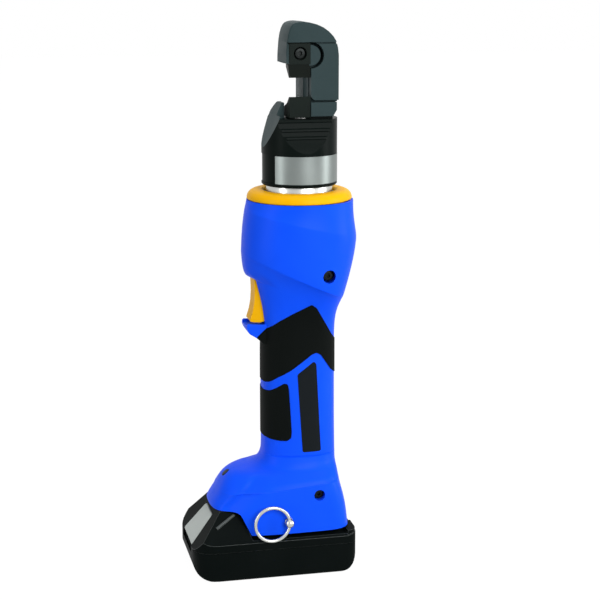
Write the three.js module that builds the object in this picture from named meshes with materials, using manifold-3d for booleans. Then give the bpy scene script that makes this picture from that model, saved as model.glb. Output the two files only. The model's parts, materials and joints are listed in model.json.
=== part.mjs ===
// Cordless hydraulic cutter with a slide-on battery, in millimetres, +Z up.
// The origin lies on the ram's axis at the plane that the battery rests on.
// -X is the front, where the trigger is, and -Y is the side with the lanyard ring.
import * as THREE from 'three';
import { mergeVertices } from 'three/addons/utils/BufferGeometryUtils.js';
import Module from 'manifold-3d';

const wasm = await Module();
wasm.setup();

// Fits and cuts
const fit = 0.3;
const cutOver = 5;
const seamGap = 0.15;

// Battery
const batteryFront = 82;
const batteryRear = 34;
const batteryHalfWidth = 37.5;
const batteryLowerHeight = 21.5;
const batteryRimHeight = 28.7;
const batteryWall = 2.2;
const batteryCorner = 12;
const batteryFlatFront = 58;
const batteryFlatRear = 22;
const batteryToeHeight = 15;
const batteryHeelHeight = 10.5;
const noseHeight = 47;
const noseTopFront = 61.7;
const noseTopRear = 48;
const noseFootRear = 39.5;
const noseHalfWidth = 23;
const railHeight = 9;
const railWidth = 6;
const railOuterHalf = 25;
const railLength = 62;
const rearHumpHeight = 4.5;
const rearHumpDepth = 6.5;
const cellRadius = 9.1;
const cellLength = 65;
const cellPitch = 18.6;
const cellCount = 5;
const cellPoleRadius = 3;
const cellPoleHeight = 0.8;
const buttonHalfWidth = 13.5;
const buttonSill = 0.9;
const buttonHeadRoom = 3.9;
const buttonThickness = 4.5;
const buttonTravel = 3;
const buttonEdge = 3.2;

// Housing
const housingWall = 2.6;
const baseFront = 67;
const baseRear = 33.3;
const baseHalfWidth = 36;
const baseHeight = 57;
const gripFront = 27.3;
const gripRear = 24.2;
const gripHalfWidth = 22;
const gripHeight = 77;
const swellFront = 40.7;
const swellRear = 39;
const swellHalfWidth = 37;
const swellHeight = 73;
const crownRadius = 36;
const crownHeight = 27;
const loftSides = 28;
const cavitySides = 16;
const baseSquareness = 3;
const gripSquareness = 2.5;
const swellSquareness = 2.15;
const lipDepth = 12;
const lipHeight = 15;
const lipHalfWidth = 11;

// Collar ring on the housing
const ringHeight = 8;
const ringOverhang = 0.6;
const spigotLength = 6;

// Cylinder, ram and gland
const cylinderRadius = 24.5;
const neckRadius = 23;
const spindleRadius = 21;
const cylinderBore = 17;
const rodRadius = 9;
const pistonLength = 12;
const pistonGroove = 2;
const sealSection = 3;
const glandLength = 11;
const ramStroke = 12.4;
const cylinderFloor = 8;
const returnWire = 2.2;
const returnTurns = 6;
const snapWire = 2;
const snapHeight = 8;
const snapGap = 4;

// Heights of the hydraulic stack
const neckRise = 10;
const spindleLength = 18.5;

// Cutting head
const collarRadius = 26;
const collarLength = 45.5;
const shieldRise = 10.5;
const shieldDepth = 4.5;
const wingDrop = 30.5;
const recessDrop = 23;
const recessInset = 6.5;
const bandHeight = 19.5;
const bandFoot = 2;
const bandThickness = 0.5;
const frameHalfWidth = 15;
const frameRear = 24;
const throatDepth = 1;
const cheekFront = 5;
const cheekThickness = 9;
const capHeight = 13.5;
const capStep = 0.6;
const frameRise = 64.5;
const noseDepth = 12;
const noseDrop = 14;
const slideGroove = 3;
const cheekGap = 1.5;
const sideBlockHeight = 9;
const sideBlockLift = 1.7;
const bladeWidth = 15;
const bladeThickness = 8;
const upperBladeHeight = 23;
const cuttingGap = 12.8;
const edgeLand = 1.6;
const bladeHeel = 4.5;
const dieRadius = 7.3;
const dieDrop = 8.2;
const lowerBladeHeight = 14;
const lowerBladeBack = 10;
const bladeScrewHead = 3.2;
const bladeScrewRadius = 2;
const bladeScrewLength = 10;
const bladeScrewDrop = 7;
const bladeScrewSet = 7.3;
const counterboreDepth = 4;
const socketRadius = 1.7;

// Motor and gears
const motorRadius = 18;
const motorHeadRoom = 21;
const motorWall = 1.8;
const motorShaftRadius = 2.5;
const motorLift = 0.5;
const coreRadius = 15;
const coreInset = 8;
const gearModule = 0.75;
const sunTeeth = 12;
const planetTeeth = 12;
const planetCount = 3;
const gearFace = 8;
const ringGearRadius = 17;
const ringGearHeight = 16;
const carrierThickness = 3.5;
const planetPinRadius = 1.4;
const addendum = 0.5;
const dedendum = 0.85;

// Pump
const gearCaseHeight = 8;
const bearingBore = 5;
const bearingRadius = 9;
const bearingWidth = 5;
const pumpSkirtRadius = 16.4;
const pumpSkirtHeight = 36;
const pumpHeadRadius = 26;
const pumpHeadHeight = 18;
const camRadius = 6.5;
const camOffset = 1.5;
const camHeight = 8;
const camLift = 9;
const camRingWall = 1.6;
const pumpPistonRadius = 3;
const pumpPistonLength = 5;
const pumpBossReach = 20.6;
const pumpBossHalf = 5;
const pumpSpringTurns = 3;
const pumpSpringWire = 0.6;
const pumpSpringLength = 3;
const pumpPlugLength = 1.6;
const reliefRadius = 3;
const reliefLength = 16;
const bladderThickness = 5;
const bladderHeight = 30;
const bladderOpenShare = 0.28;

// Trigger
const triggerHalfWidth = 7.5;
const triggerPivotDepth = 24.5;
const triggerPivotDrop = 3.5;
const triggerPinRadius = 1.5;
const triggerReach = 36.5;
const triggerThickness = 3;
const triggerSwing = 1.8;
const switchDepth = 4.6;
const switchHeight = 14;
const switchHalfWidth = 5;
const triggerSpringRadius = 1.8;
const triggerSpringWire = 0.5;
const triggerSpringTurns = 2;

// Electronics
const boardThickness = 1.6;
const boardFront = 42;
const boardHalfWidth = 27;
const terminalFront = 4;
const terminalRear = 24;
const terminalHalfWidth = 16;
const terminalHeight = 16;
const lensRadius = 3;
const lensDepth = 5;

// Screws and lanyard
const screwHeadRadius = 3.4;
const screwShankRadius = 2;
const screwHeadHeight = 3;
const screwWellRadius = 4.2;
const screwThreadLength = 9;
const bodyScrewRear = 14.5;
const bodyScrewDrop = 6;
const baseScrewRear = 6.9;
const baseScrewLift = 27;
const baseScrewLength = 30;
const eyeletFront = 15.4;
const eyeletLift = 11.9;
const eyeletBall = 3.2;
const eyeletStem = 1.8;
const eyeletStandOff = 3.6;
const lanyardRadius = 12.1;
const lanyardWire = 1.9;
const eyeletHole = 1.5;

// Heights worked out from the stack
const baseBottom = batteryRimHeight + fit;
const gripBottom = baseBottom + baseHeight;
const gripTop = gripBottom + gripHeight;
const swellTop = gripTop + swellHeight;
const crownTop = swellTop + crownHeight;
const ringBottom = crownTop + fit;
const neckBottom = crownTop;
const collarBottom = neckBottom + neckRise;
const collarTop = collarBottom + collarLength;
const frameTop = collarTop + frameRise;
const throatTop = frameTop - noseDrop - capHeight;
const upperBladeTop = frameTop - capHeight - fit;
const upperEdge = upperBladeTop - upperBladeHeight;
const lowerEdge = upperEdge - cuttingGap;
const lowerBladeBottom = lowerEdge - lowerBladeHeight;
const motorBottom = gripBottom + motorLift;
const motorLength = gripHeight - motorHeadRoom;
const motorTop = motorBottom + motorLength;
const ringGearBottom = motorTop + fit;
const ringGearTop = ringGearBottom + ringGearHeight;
const gearBottom = ringGearBottom + fit + fit;
const gearTop = gearBottom + gearFace;
const gearCaseBottom = ringGearTop + fit;
const gearCaseTop = gearCaseBottom + gearCaseHeight;
const pumpBottom = gearCaseTop + fit;
const pumpSkirtTop = pumpBottom + pumpSkirtHeight;
const pumpTop = pumpSkirtTop + pumpHeadHeight;
const cylinderBottom = pumpTop + fit;
const cylinderTop = collarBottom + spindleLength;
const camBottom = pumpBottom + camLift;
const camMiddle = camBottom + camHeight / 2;
const triggerTop = pumpSkirtTop - fit;

// Turning three.js shapes into solids and back

function solid(geometry) {
  const bare = geometry.index ? geometry.toNonIndexed() : geometry.clone();
  for (const name of Object.keys(bare.attributes)) {
    if (name !== 'position') bare.deleteAttribute(name);
  }
  const merged = mergeVertices(bare, 1e-4);
  const vertProperties = new Float32Array(merged.attributes.position.array);
  const triVerts = new Uint32Array(merged.index.array);
  const kept = [];
  for (let i = 0; i < triVerts.length; i += 3) {
    const [a, b, c] = triVerts.slice(i, i + 3);
    if (a !== b && b !== c && c !== a) kept.push(a, b, c);
  }
  let volume = 0;
  const corner = (i) => new THREE.Vector3().fromArray(vertProperties, i * 3);
  for (let i = 0; i < kept.length; i += 3) {
    volume += corner(kept[i]).dot(corner(kept[i + 1]).cross(corner(kept[i + 2])));
  }
  if (volume < 0) kept.reverse();
  const mesh = new wasm.Mesh({ numProp: 3, vertProperties, triVerts: new Uint32Array(kept) });
  return new wasm.Manifold(mesh);
}

function geometryOf(manifold) {
  const mesh = manifold.getMesh();
  const geometry = new THREE.BufferGeometry();
  geometry.setAttribute('position', new THREE.BufferAttribute(new Float32Array(mesh.vertProperties), 3));
  geometry.setIndex(new THREE.BufferAttribute(new Uint32Array(mesh.triVerts), 1));
  geometry.computeVertexNormals();
  return geometry;
}

function joined(...pieces) {
  return pieces.reduce((whole, piece) => whole.add(piece));
}

// Basic shapes, each given by the planes or the axis that bound it

function block(x0, x1, y0, y1, z0, z1) {
  const geometry = new THREE.BoxGeometry(x1 - x0, y1 - y0, z1 - z0);
  geometry.translate((x0 + x1) / 2, (y0 + y1) / 2, (z0 + z1) / 2);
  return solid(geometry);
}

function upright(radius, z0, z1, x = 0, y = 0, sides = 24) {
  const geometry = new THREE.CylinderGeometry(radius, radius, z1 - z0, sides);
  geometry.rotateX(Math.PI / 2);
  geometry.translate(x, y, (z0 + z1) / 2);
  return solid(geometry);
}

function crossways(radius, y0, y1, x, z, sides = 16) {
  const geometry = new THREE.CylinderGeometry(radius, radius, y1 - y0, sides);
  geometry.translate(x, (y0 + y1) / 2, z);
  return solid(geometry);
}

function lengthways(radius, x0, x1, y, z, sides = 16) {
  const geometry = new THREE.CylinderGeometry(radius, radius, x1 - x0, sides);
  geometry.rotateZ(Math.PI / 2);
  geometry.translate((x0 + x1) / 2, y, z);
  return solid(geometry);
}

function turned(profile, sides = 24) {
  const points = profile.map(([r, z]) => new THREE.Vector2(r, z));
  points.push(points[0].clone());
  const geometry = new THREE.LatheGeometry(points, sides);
  geometry.rotateX(Math.PI / 2);
  return solid(geometry);
}

function shapeOf(points) {
  return new THREE.Shape(points.map(([a, b]) => new THREE.Vector2(a, b)));
}

function sidePlate(outline, y0, y1) {
  const shape = outline instanceof THREE.Shape ? outline : shapeOf(outline);
  const geometry = new THREE.ExtrudeGeometry(shape, { depth: y1 - y0, bevelEnabled: false,
    curveSegments: 10 });
  geometry.rotateX(Math.PI / 2);
  geometry.translate(0, y1, 0);
  return solid(geometry);
}

function planPlate(outline, z0, z1) {
  const shape = outline instanceof THREE.Shape ? outline : shapeOf(outline);
  const geometry = new THREE.ExtrudeGeometry(shape, { depth: z1 - z0, bevelEnabled: false,
    curveSegments: 8 });
  geometry.translate(0, 0, z0);
  return solid(geometry);
}

// Spring wire wound round an upright axis
class Helix extends THREE.Curve {
  constructor(radius, rise, turns) {
    super();
    Object.assign(this, { radius, rise, turns });
  }
  getPoint(t, target = new THREE.Vector3()) {
    const angle = t * this.turns * Math.PI * 2;
    return target.set(this.radius * Math.cos(angle), this.radius * Math.sin(angle), this.rise * t);
  }
}

function coil(radius, wire, length, turns) {
  const section = new THREE.Shape();
  section.absarc(0, 0, wire / 2, 0, Math.PI * 2, false);
  const extrudePath = new Helix(radius, length - wire, turns);
  const options = { steps: turns * 7, curveSegments: 3, bevelEnabled: false, extrudePath };
  const geometry = new THREE.ExtrudeGeometry(section, options);
  geometry.translate(0, 0, wire / 2);
  return geometry;
}

// Body lofted through oval sections; each row is [height, front, rear, half width, squareness]
function loft(rows, inset = 0, sides = loftSides) {
  const geometry = new THREE.CylinderGeometry(1, 1, 1, sides, rows.length - 1);
  const place = geometry.attributes.position;
  for (let i = 0; i < place.count; i += 1) {
    const level = Math.round((place.getY(i) + 0.5) * (rows.length - 1));
    const [z, front, rear, half, squareness] = rows[level];
    const cos = place.getX(i);
    const sin = place.getZ(i);
    const depth = (cos < 0 ? front : rear) - inset;
    const x = Math.sign(cos) * Math.abs(cos) ** (2 / squareness) * depth;
    const y = -Math.sign(sin) * Math.abs(sin) ** (2 / squareness) * (half - inset);
    place.setXYZ(i, x, y, z);
  }
  return solid(geometry);
}

const body = new THREE.Group();

function finish(color, roughness, metalness) {
  return new THREE.MeshStandardMaterial({ color, roughness, metalness });
}

function add(name, shape, material, parent = body) {
  const geometry = shape.getMesh ? geometryOf(shape) : shape;
  const mesh = new THREE.Mesh(geometry, material);
  mesh.name = name;
  parent.add(mesh);
  return mesh;
}

const bluePlastic = finish(0x1955f5, 0.45, 0);
const yellowPlastic = finish(0xffae04, 0.4, 0);
const blackRubber = finish(0x101413, 0.85, 0);
const blackPlastic = finish(0x161a19, 0.5, 0);
const greyPlastic = finish(0xadb5ae, 0.5, 0);
const darkPlate = finish(0x1c1f22, 0.4, 0);
const phosphatedSteel = finish(0x43534f, 0.55, 0.8);
const blackSteel = finish(0x20282a, 0.5, 0.8);
const brightSteel = finish(0xc9ccca, 0.25, 1);
const springSteel = finish(0x8a8d8f, 0.35, 1);
const castIron = finish(0x5a5d5f, 0.6, 0.8);
const aluminium = finish(0xb9bcbd, 0.4, 1);
const brass = finish(0xb08d3c, 0.35, 1);
const copper = finish(0x9a5a35, 0.4, 1);
const boardGreen = finish(0x1f5a35, 0.6, 0);
const cellWrap = finish(0x2f7d6a, 0.5, 0);
const clearLens = finish(0xe8eef2, 0.1, 0);

// Housing shells, split along the middle of the tool

const mix = (from, to, share) => from + (to - from) * share;

const baseRowShares = [
  [0, 1, 1, 1], [0.31, 1, 0.72, 1], [0.37, 0.97, 0.62, 1], [0.46, 0.87, 0.48, 0.97],
  [0.56, 0.79, 0.27, 0.89], [0.665, 0.6, 0.2, 0.72], [0.73, 0.43, 0.16, 0.5],
  [0.79, 0.13, 0.12, 0.26], [0.9, 0.02, 0.06, 0.06], [1, 0, 0, 0],
];
const swellRowShares = [
  [0, 0, 0, 0], [0.178, -0.17, 0, 0.03], [0.26, -0.157, 0.047, 0.1], [0.342, -0.08, 0.135, 0.2],
  [0.425, 0.04, 0.31, 0.34], [0.507, 0.2, 0.46, 0.5], [0.589, 0.46, 0.58, 0.64],
  [0.623, 0.8, 0.62, 0.7], [0.726, 0.95, 0.76, 0.84], [0.849, 1, 0.9, 0.97], [1, 0.97, 1, 1],
];
const crownRowShares = [[0.444, 0.3, 0.6, 0.4], [0.81, 0.72, 0.9, 0.8], [1, 1, 1, 1]];

function housingRows(inset) {
  const low = inset > 0 ? cutOver : 0;
  const rows = baseRowShares.map(([height, front, rear, width]) => [
    baseBottom + baseHeight * height - (height === 0 ? low : 0),
    mix(gripFront, baseFront, front),
    mix(gripRear, baseRear, rear),
    mix(gripHalfWidth, baseHalfWidth, width),
    mix(gripSquareness, baseSquareness, width),
  ]);
  for (const [height, front, rear, width] of swellRowShares) {
    rows.push([
      gripTop + swellHeight * height,
      mix(gripFront, swellFront, front),
      mix(gripRear, swellRear, rear),
      mix(gripHalfWidth, swellHalfWidth, width),
      mix(gripSquareness, swellSquareness, width),
    ]);
  }
  for (const [height, front, rear, width] of crownRowShares) {
    rows.push([
      swellTop + crownHeight * height + (height === 1 ? low : 0),
      mix(swellFront, crownRadius, front),
      mix(swellRear, crownRadius, rear),
      mix(swellHalfWidth, crownRadius, width),
      swellSquareness,
    ]);
  }
  return rows;
}

function triggerLip() {
  const x = -gripFront;
  const z = gripTop;
  return sidePlate([
    [x + lipDepth / 3, z], [x, z], [x - lipDepth * 0.45, z + lipHeight * 0.3],
    [x - lipDepth * 0.9, z + lipHeight * 0.5], [x - lipDepth, z + lipHeight * 0.75],
    [x - lipDepth * 0.95, z + lipHeight * 0.95], [x - lipDepth * 0.3, z + lipHeight * 0.8],
    [x + lipDepth / 3, z + lipHeight * 0.76],
  ], -lipHalfWidth, lipHalfWidth);
}

// Room in the base for the sloping nose and the rear hump of the battery
function batteryRoom() {
  const wide = baseHalfWidth + cutOver;
  const nose = sidePlate([
    [-baseFront - cutOver, baseBottom - cutOver], [-baseFront - cutOver, noseHeight + fit],
    [-noseTopRear, noseHeight + fit], [-noseFootRear, batteryRimHeight + fit + fit],
    [-noseFootRear, baseBottom - cutOver],
  ], -wide, wide);
  const railTop = batteryRimHeight + railHeight + fit;
  const rails = block(-baseFront, -noseFootRear + cutOver, -railOuterHalf - fit, railOuterHalf + fit,
    baseBottom - cutOver, railTop + fit);
  const humpTop = batteryRimHeight + rearHumpHeight + fit;
  const hump = block(batteryRear - rearHumpDepth - fit, batteryRear + cutOver, -wide, wide,
    baseBottom - cutOver, humpTop);
  return joined(nose, rails, hump);
}

const triggerFoot = gripTop + lipHeight * 0.82;
const pivotX = -triggerPivotDepth;
const pivotZ = triggerTop - triggerPivotDrop;
const bodyScrewZ = pumpTop - bodyScrewDrop;
const bodyScrewSeat = swellHalfWidth - screwHeadHeight - housingWall - housingWall;
const pumpFlank = Math.sqrt(pumpHeadRadius ** 2 - bodyScrewRear ** 2);
const baseScrewZ = baseBottom + baseScrewLift;
const baseScrewSeat = baseHalfWidth - screwHeadHeight - housingWall;
const lensX = -mix(gripFront, baseFront, 0.68);
const lensZ = baseBottom + baseHeight * 0.64;
const lensTilt = 0.9;

function lensPlug(radius, x0, x1) {
  const geometry = new THREE.CylinderGeometry(radius, radius, x1 - x0, 20);
  geometry.rotateZ(Math.PI / 2);
  geometry.translate((x0 + x1) / 2, 0, 0);
  geometry.rotateY(lensTilt);
  geometry.translate(lensX, 0, lensZ);
  return solid(geometry);
}

// Outlines of the rubber grips and the name plate, seen from the side
const upperGripOutline = [
  [-gripFront - 0.2 * lipDepth, gripTop + 0.13 * swellHeight],
  [-0.38 * gripRear, gripTop + 0.31 * swellHeight],
  [0.07 * gripRear, gripTop + 0.4 * swellHeight], [0.26 * gripRear, gripTop + 0.36 * swellHeight],
  [0.8 * gripRear, gripTop + 0.09 * swellHeight], [gripRear + cutOver, gripTop + 0.03 * swellHeight],
  [gripRear + cutOver, gripBottom + 0.74 * gripHeight], [0.8 * gripRear, gripBottom + 0.75 * gripHeight],
  [0.43 * gripRear, gripBottom + 0.915 * gripHeight], [0.3 * gripRear, gripBottom + 0.93 * gripHeight],
  [-0.38 * gripFront, gripBottom + 0.78 * gripHeight], [-0.7 * gripFront, gripBottom + 0.715 * gripHeight],
  [-0.86 * gripFront, gripBottom + 0.69 * gripHeight],
  [-gripFront - cutOver, gripBottom + 0.7 * gripHeight],
  [-gripFront - cutOver, gripTop - 0.02 * gripHeight], [-gripFront, gripTop],
];
const lowerGripOutline = [
  [-gripFront - cutOver, gripBottom + 0.635 * gripHeight],
  [-0.92 * gripFront, gripBottom + 0.61 * gripHeight],
  [-0.7 * gripFront, gripBottom + 0.64 * gripHeight], [-0.57 * gripFront, gripBottom + 0.655 * gripHeight],
  [-0.49 * gripFront, gripBottom + 0.648 * gripHeight], [-0.45 * gripFront, gripBottom + 0.62 * gripHeight],
  [-0.37 * gripFront, gripBottom + 0.19 * gripHeight], [-0.4 * gripFront, gripBottom + 0.136 * gripHeight],
  [-0.5 * gripFront, gripBottom + 0.115 * gripHeight], [-0.66 * gripFront, gripBottom + 0.123 * gripHeight],
  [-gripFront - cutOver, gripBottom + 0.19 * gripHeight],
];
const plateOutline = [
  [-0.25 * gripRear, gripBottom + 0.74 * gripHeight], [0.22 * gripRear, gripBottom + 0.84 * gripHeight],
  [0.31 * gripRear, gripBottom + 0.82 * gripHeight], [0.45 * gripRear, gripBottom],
  [-0.1 * gripRear, gripBottom],
];
const skinProud = 0.4;
const skinDepth = 0.5;
const plateProud = 0.15;
const plateDepth = 0.4;

// The outline moved outward by a distance, each corner along the bisector of its two edges
function grown(outline, by) {
  const around = Math.sign(THREE.ShapeUtils.area(outline.map(([a, b]) => new THREE.Vector2(a, b))));
  const normalOf = (from, to) => new THREE.Vector2(to[1] - from[1], from[0] - to[0]).normalize();
  return outline.map((point, i) => {
    const before = outline[(i + outline.length - 1) % outline.length];
    const after = outline[(i + 1) % outline.length];
    const first = normalOf(before, point);
    const second = normalOf(point, after);
    const step = around * by / (1 + first.dot(second));
    return [point[0] + (first.x + second.x) * step, point[1] + (first.y + second.y) * step];
  });
}

const wideHalf = swellHalfWidth + cutOver;

// The root of the lip stays bare, so the grips are cut away round it
function lipRoot(margin) {
  return block(-gripFront - lipDepth, -gripFront + lipDepth / 2, -lipHalfWidth - margin,
    lipHalfWidth + margin, gripTop - margin, gripTop + lipHeight + cutOver);
}

function skin(outline, proud, depth, side) {
  const rows = housingRows(0);
  const reach = side < 0 ? [-wideHalf, -seamGap] : [seamGap, wideHalf];
  return loft(rows, -proud).subtract(loft(rows, depth)).intersect(sidePlate(outline, ...reach))
    .subtract(lipRoot(housingWall + fit));
}

function pocket(outline, proud, depth) {
  const rows = housingRows(0);
  return loft(rows, -proud - fit).subtract(loft(rows, depth + fit))
    .intersect(sidePlate(grown(outline, fit + fit), -wideHalf, wideHalf))
    .subtract(lipRoot(housingWall));
}

function pivotEars() {
  const outer = triggerHalfWidth + fit + housingWall;
  const back = pivotX + triggerPinRadius + housingWall;
  return joined(
    block(-gripFront, back, -outer, -triggerHalfWidth - fit, pivotZ - housingWall, triggerTop),
    block(-gripFront, back, triggerHalfWidth + fit, outer, pivotZ - housingWall, triggerTop),
  );
}

function housingShell() {
  let shell = joined(loft(housingRows(0)), triggerLip());
  shell = shell.subtract(loft(housingRows(housingWall), housingWall, cavitySides));
  const bossRadius = screwWellRadius + housingWall / 2;
  const bodyBoss = crossways(bossRadius, pumpFlank + fit, swellHalfWidth - housingWall, bodyScrewRear,
    bodyScrewZ);
  const baseBoss = crossways(bossRadius, -baseHalfWidth + housingWall, baseHalfWidth - housingWall,
    baseScrewRear, baseScrewZ);
  const bosses = joined(bodyBoss, bodyBoss.mirror([0, 1, 0]), baseBoss).intersect(loft(housingRows(0)));
  shell = joined(shell, bosses, pivotEars());
  shell = shell.subtract(batteryRoom());
  const bodyWell = crossways(screwWellRadius, bodyScrewSeat, wideHalf, bodyScrewRear, bodyScrewZ);
  const bodyHole = crossways(screwShankRadius + fit, 0, wideHalf, bodyScrewRear, bodyScrewZ);
  const baseWell = crossways(screwWellRadius, -wideHalf, -baseScrewSeat, baseScrewRear, baseScrewZ);
  const baseHole = crossways(screwShankRadius + fit, -wideHalf, baseScrewLength / 2, baseScrewRear,
    baseScrewZ);
  shell = shell.subtract(joined(bodyWell, bodyHole, bodyWell.mirror([0, 1, 0]),
    bodyHole.mirror([0, 1, 0])));
  shell = shell.subtract(joined(baseWell, baseHole));
  shell = shell.subtract(block(-swellFront, -gripFront + housingWall * 3, -triggerHalfWidth - fit,
    triggerHalfWidth + fit, triggerFoot - triggerSwing, triggerTop + fit));
  shell = shell.subtract(crossways(triggerPinRadius + fit, -gripHalfWidth / 2, gripHalfWidth / 2, pivotX,
    pivotZ));
  shell = shell.subtract(lensPlug(lensRadius + fit, -cutOver, lensDepth + cutOver));
  shell = shell.subtract(upright(pumpHeadRadius + fit, pumpSkirtTop - fit, cylinderBottom, 0, 0, 36));
  shell = shell.subtract(crossways(eyeletStem + fit, -wideHalf, 0, -eyeletFront, baseBottom + eyeletLift));
  shell = shell.subtract(pocket(upperGripOutline, skinProud, skinDepth));
  shell = shell.subtract(pocket(lowerGripOutline, skinProud, skinDepth));
  const platePocket = pocket(plateOutline, plateProud, plateDepth);
  const nearSide = block(-wideHalf, wideHalf, -wideHalf, 0, gripBottom - cutOver, gripTop);
  return shell.subtract(platePocket.intersect(nearSide));
}

const shell = housingShell();
const high = crownTop + cutOver;
const deep = baseFront + cutOver;
add('housing_left', shell.intersect(block(-deep, deep, -wideHalf, -seamGap, 0, high)), bluePlastic);
add('housing_right', shell.intersect(block(-deep, deep, seamGap, wideHalf, 0, high)), bluePlastic);
for (const [name, side] of [['left', -1], ['right', 1]]) {
  add(`grip_upper_${name}`, skin(upperGripOutline, skinProud, skinDepth, side), blackRubber);
  add(`grip_lower_${name}`, skin(lowerGripOutline, skinProud, skinDepth, side), blackRubber);
}
add('name_plate', skin(plateOutline, plateProud, plateDepth, -1), darkPlate);

// Collar ring, which closes the top of the shells round the cylinder

function collarRing() {
  const outer = crownRadius + ringOverhang;
  const inner = cylinderRadius + fit;
  const spigot = crownRadius - housingWall - fit * 4;
  return turned([
    [inner, ringBottom - spigotLength], [spigot, ringBottom - spigotLength], [spigot, ringBottom],
    [outer, ringBottom], [outer, ringBottom + ringHeight * 0.2],
    [outer - ringHeight * 0.22, ringBottom + ringHeight * 0.55],
    [outer - ringHeight * 0.55, ringBottom + ringHeight * 0.82],
    [outer - ringHeight, ringBottom + ringHeight],
    [inner + ringOverhang, ringBottom + ringHeight], [inner, ringBottom + ringHeight * 0.9],
  ], 28);
}
add('collar_ring', collarRing(), yellowPlastic);

// Hydraulic cylinder with its neck and the spindle that the head turns on

const ramBottom = cylinderBottom + cylinderFloor;
const glandBottom = cylinderTop - glandLength;
const snapBottom = collarBottom + snapHeight;

function cylinder() {
  const upper = ringBottom + ringHeight;
  return turned([
    [0, cylinderBottom], [cylinderRadius, cylinderBottom], [cylinderRadius, upper - fit],
    [neckRadius, upper], [neckRadius, collarBottom - fit], [spindleRadius, collarBottom - fit],
    [spindleRadius, snapBottom - fit], [spindleRadius - snapWire / 2, snapBottom - fit],
    [spindleRadius - snapWire / 2, snapBottom + snapWire + fit],
    [spindleRadius, snapBottom + snapWire + fit],
    [spindleRadius, cylinderTop], [cylinderBore, cylinderTop], [cylinderBore, ramBottom], [0, ramBottom],
  ]);
}
add('hydraulic_cylinder', cylinder(), brightSteel);

function ram() {
  const bottom = ramBottom + fit;
  const groove = bottom + pistonLength * 0.4;
  const side = cylinderBore - fit;
  return turned([
    [0, bottom], [side, bottom], [side, groove], [side - pistonGroove, groove],
    [side - pistonGroove, groove + sealSection], [side, groove + sealSection],
    [side, bottom + pistonLength], [rodRadius, bottom + pistonLength],
    [rodRadius, lowerBladeBottom - fit], [0, lowerBladeBottom - fit],
  ]);
}
add('ram', ram(), brightSteel);

function pistonSeal() {
  const low = ramBottom + fit + pistonLength * 0.4 + fit;
  const inner = cylinderBore - fit - pistonGroove + fit;
  const section = sealSection - fit - fit;
  return turned([
    [inner, low], [cylinderBore - fit, low], [cylinderBore - fit, low + section], [inner, low + section],
  ]);
}
add('piston_seal', pistonSeal(), blackRubber);

function gland() {
  return upright(cylinderBore - fit, glandBottom, cylinderTop, 0, 0, 24)
    .subtract(upright(rodRadius + fit, glandBottom - cutOver, cylinderTop + cutOver));
}
add('rod_gland', gland(), brass);

const returnLength = glandBottom - ramBottom - pistonLength - fit - fit - fit;
const returnRadius = rodRadius + returnWire / 2 + fit * 4;
add('return_spring', coil(returnRadius, returnWire, returnLength, returnTurns), springSteel)
  .position.z = ramBottom + fit + pistonLength + fit;

function snapRing() {
  const ring = upright(spindleRadius + snapWire / 2, snapBottom, snapBottom + snapWire, 0, 0, 24)
    .subtract(upright(spindleRadius - snapWire / 2 + fit, snapBottom - cutOver, snapBottom + cutOver, 0,
      0, 24));
  return ring.subtract(block(0, collarRadius, -snapGap / 2, snapGap / 2, snapBottom - cutOver,
    snapBottom + cutOver));
}
add('snap_ring', snapRing(), springSteel);

// Cutting head: collar, C-frame and its pockets in one forging

const shieldTop = collarTop + shieldRise;
const frameFront = noseDepth;

function headOutline() {
  const shape = new THREE.Shape();
  shape.moveTo(frameRear, collarTop - cutOver);
  shape.lineTo(frameRear, frameTop - frameRear * 0.85);
  shape.bezierCurveTo(frameRear, frameTop - frameRear * 0.4, frameRear * 0.6, frameTop, 0, frameTop);
  shape.lineTo(-frameFront * 0.6, frameTop);
  shape.quadraticCurveTo(-frameFront * 1.05, frameTop, -frameFront, frameTop - capHeight * 0.6);
  shape.lineTo(-frameFront, throatTop);
  shape.lineTo(throatDepth, throatTop);
  shape.lineTo(throatDepth, collarTop - cutOver);
  return shape;
}

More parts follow.
